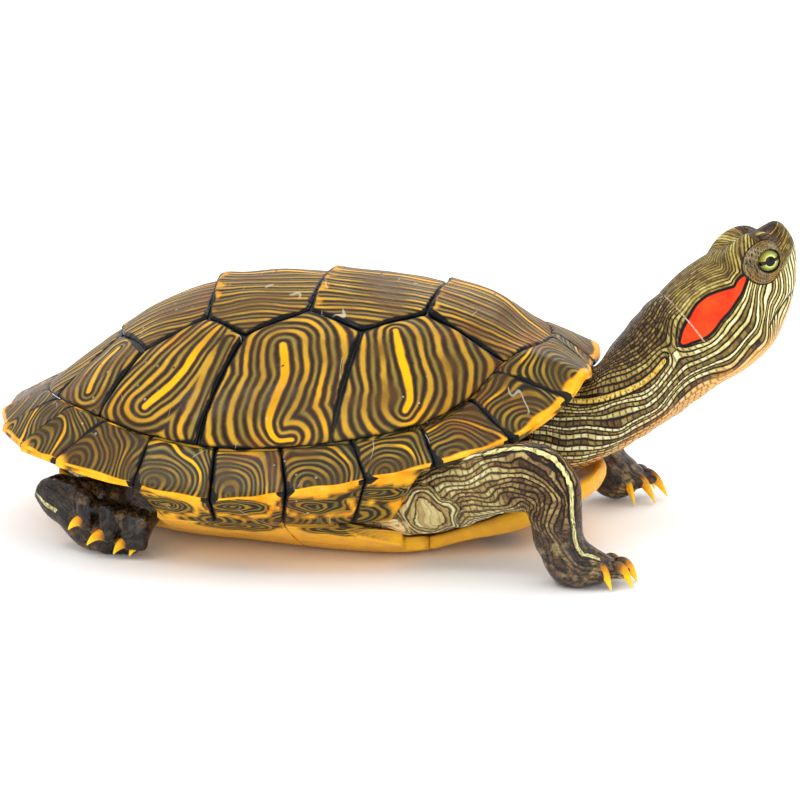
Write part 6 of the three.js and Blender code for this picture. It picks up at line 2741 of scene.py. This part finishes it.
@dataclass(frozen=True)
class Studio:
    """A pale floor, soft lights and the camera."""

    target: tuple[float, float, float] = (26.0, 0.0, 32.9)
    distance: float = 600.0
    azimuth: float = 10.0
    elevation: float = 13.0
    pixels_per_mm: float = 3.785
    frame_pixels: int = 800
    sensor: float = 36.0
    floor_half: float = 40.0
    zenith: float = 1.5
    horizon: float = 0.75
    # Each lamp's name, place and size in metres, and power in watts.
    lamps: tuple = (
        ("key", (-0.35, -0.5, 0.95), 0.3, 2.4), ("fill", (0.35, -1.0, 0.3), 0.8, 2.3),
        ("back", (0.15, 0.75, 0.8), 0.5, 2.0))

    def camera(self) -> None:
        """Looks at the target from the given azimuth and elevation."""
        azimuth, elevation = math.radians(self.azimuth), math.radians(self.elevation)
        back = np.array([math.sin(azimuth) * math.cos(elevation),
                         -math.cos(azimuth) * math.cos(elevation), math.sin(elevation)])
        data = bpy.data.cameras.new("camera")
        data.sensor_width = self.sensor
        data.lens = self.pixels_per_mm * self.distance * self.sensor / self.frame_pixels
        data.clip_start, data.clip_end = 0.01, 50.0
        camera = bpy.data.objects.new("camera", data)
        camera.location = (np.array(self.target) + self.distance * back) * MM
        camera.rotation_euler = (math.pi / 2 - elevation, 0.0, azimuth)
        bpy.context.scene.collection.objects.link(camera)
        bpy.context.scene.camera = camera

    def floor(self) -> None:
        """A wide white floor just under the feet."""
        half = self.floor_half
        mesh = bpy.data.meshes.new("floor")
        mesh.from_pydata([(-half, -half, 0), (half, -half, 0), (half, half, 0), (-half, half, 0)], [],
                         [(0, 1, 2, 3)])
        floor = bpy.data.objects.new("floor", mesh)
        bpy.context.scene.collection.objects.link(floor)
        paint = Paint("studio_floor")
        tint = paint.ramp(paint.noise(3.0), [(0.0, (0.93, 0.93, 0.93)), (1.0, (0.96, 0.96, 0.96))])
        mesh.materials.append(paint.finish(Base_Color=tint, Roughness=0.6, Specular_IOR_Level=0.2))
        floor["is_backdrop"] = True

    def lamp(self, name: str, at: Sequence[float], size: float, power: float) -> None:
        """A square soft lamp that faces the target.

        Args:
            name: the lamp's name.
            at: its place in metres.
            size: its side in metres.
            power: its power in watts.
        """
        data = bpy.data.lights.new(name, "AREA")
        data.size, data.energy = size, power
        lamp = bpy.data.objects.new(name, data)
        lamp.location = at
        aim = np.array(self.target) * MM - np.array(at)
        flat = math.hypot(aim[0], aim[1])
        tilt, turn = math.atan2(aim[2], flat), math.atan2(aim[1], aim[0])
        lamp.rotation_euler = (math.pi / 2 + tilt, 0.0, turn - math.pi / 2)
        bpy.context.scene.collection.objects.link(lamp)

    def sky(self) -> None:
        """A tent of light, bright overhead and dimmer towards the horizon."""
        world = bpy.data.worlds.new("studio")
        world.use_nodes = True
        tree = world.node_tree
        place_node = tree.nodes.new("ShaderNodeTexCoord")
        parts = tree.nodes.new("ShaderNodeSeparateXYZ")
        fade = tree.nodes.new("ShaderNodeMapRange")
        fade.inputs["From Min"].default_value = 0.0
        fade.inputs["From Max"].default_value = 0.9
        fade.inputs["To Min"].default_value = self.horizon
        fade.inputs["To Max"].default_value = self.zenith
        tree.links.new(place_node.outputs["Generated"], parts.inputs[0])
        tree.links.new(parts.outputs["Z"], fade.inputs["Value"])
        background = tree.nodes["Background"]
        background.inputs["Color"].default_value = (1.0, 1.0, 1.0, 1.0)
        tree.links.new(fade.outputs[0], background.inputs["Strength"])
        bpy.context.scene.world = world

    def build(self) -> None:
        """Sets up floor, sky, lamps, camera and plain colours."""
        self.camera()
        self.floor()
        self.sky()
        for lamp in self.lamps:
            self.lamp(*lamp)
        bpy.context.scene.view_settings.view_transform = "Standard"


def box(corners: Sequence) -> list[list[float]]:
    """A box's two corners as plain lists."""
    return [list(map(float, corner)) for corner in corners]


def main() -> None:
    """Builds the animal piece by piece."""
    logging.basicConfig(level=logging.INFO, format="%(message)s")
    Studio().build()
    form = ShellForm()
    shield = HornFinish("horn_shield")
    rim = HornFinish("horn_rim", dark="1f1c16", brown="433319", olive="736a34", yellow="a07c24")
    belly = HornFinish("horn_belly", dark="33281a", brown="4a3418", olive="8a7a33", rim="f0ab3a",
                       seam="5a3812", dust=0.1)
    anatomy = Anatomy(form)
    Skin(anatomy).build(SkinFinish().build())
    Eyes(anatomy.head).build(EyeFinish().build())
    Claws(anatomy.limbs()).build(ClawFinish().build())
    BackShields(form).build(shield.build())
    RimShields(form).build(rim.build())
    Breastplate(form).build(belly.build())
    ShellBone(form).build(SeamFinish().build())
    {"cad": box(CAD_BOX), "visual": box(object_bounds())}


if __name__ == "__main__":
    main()
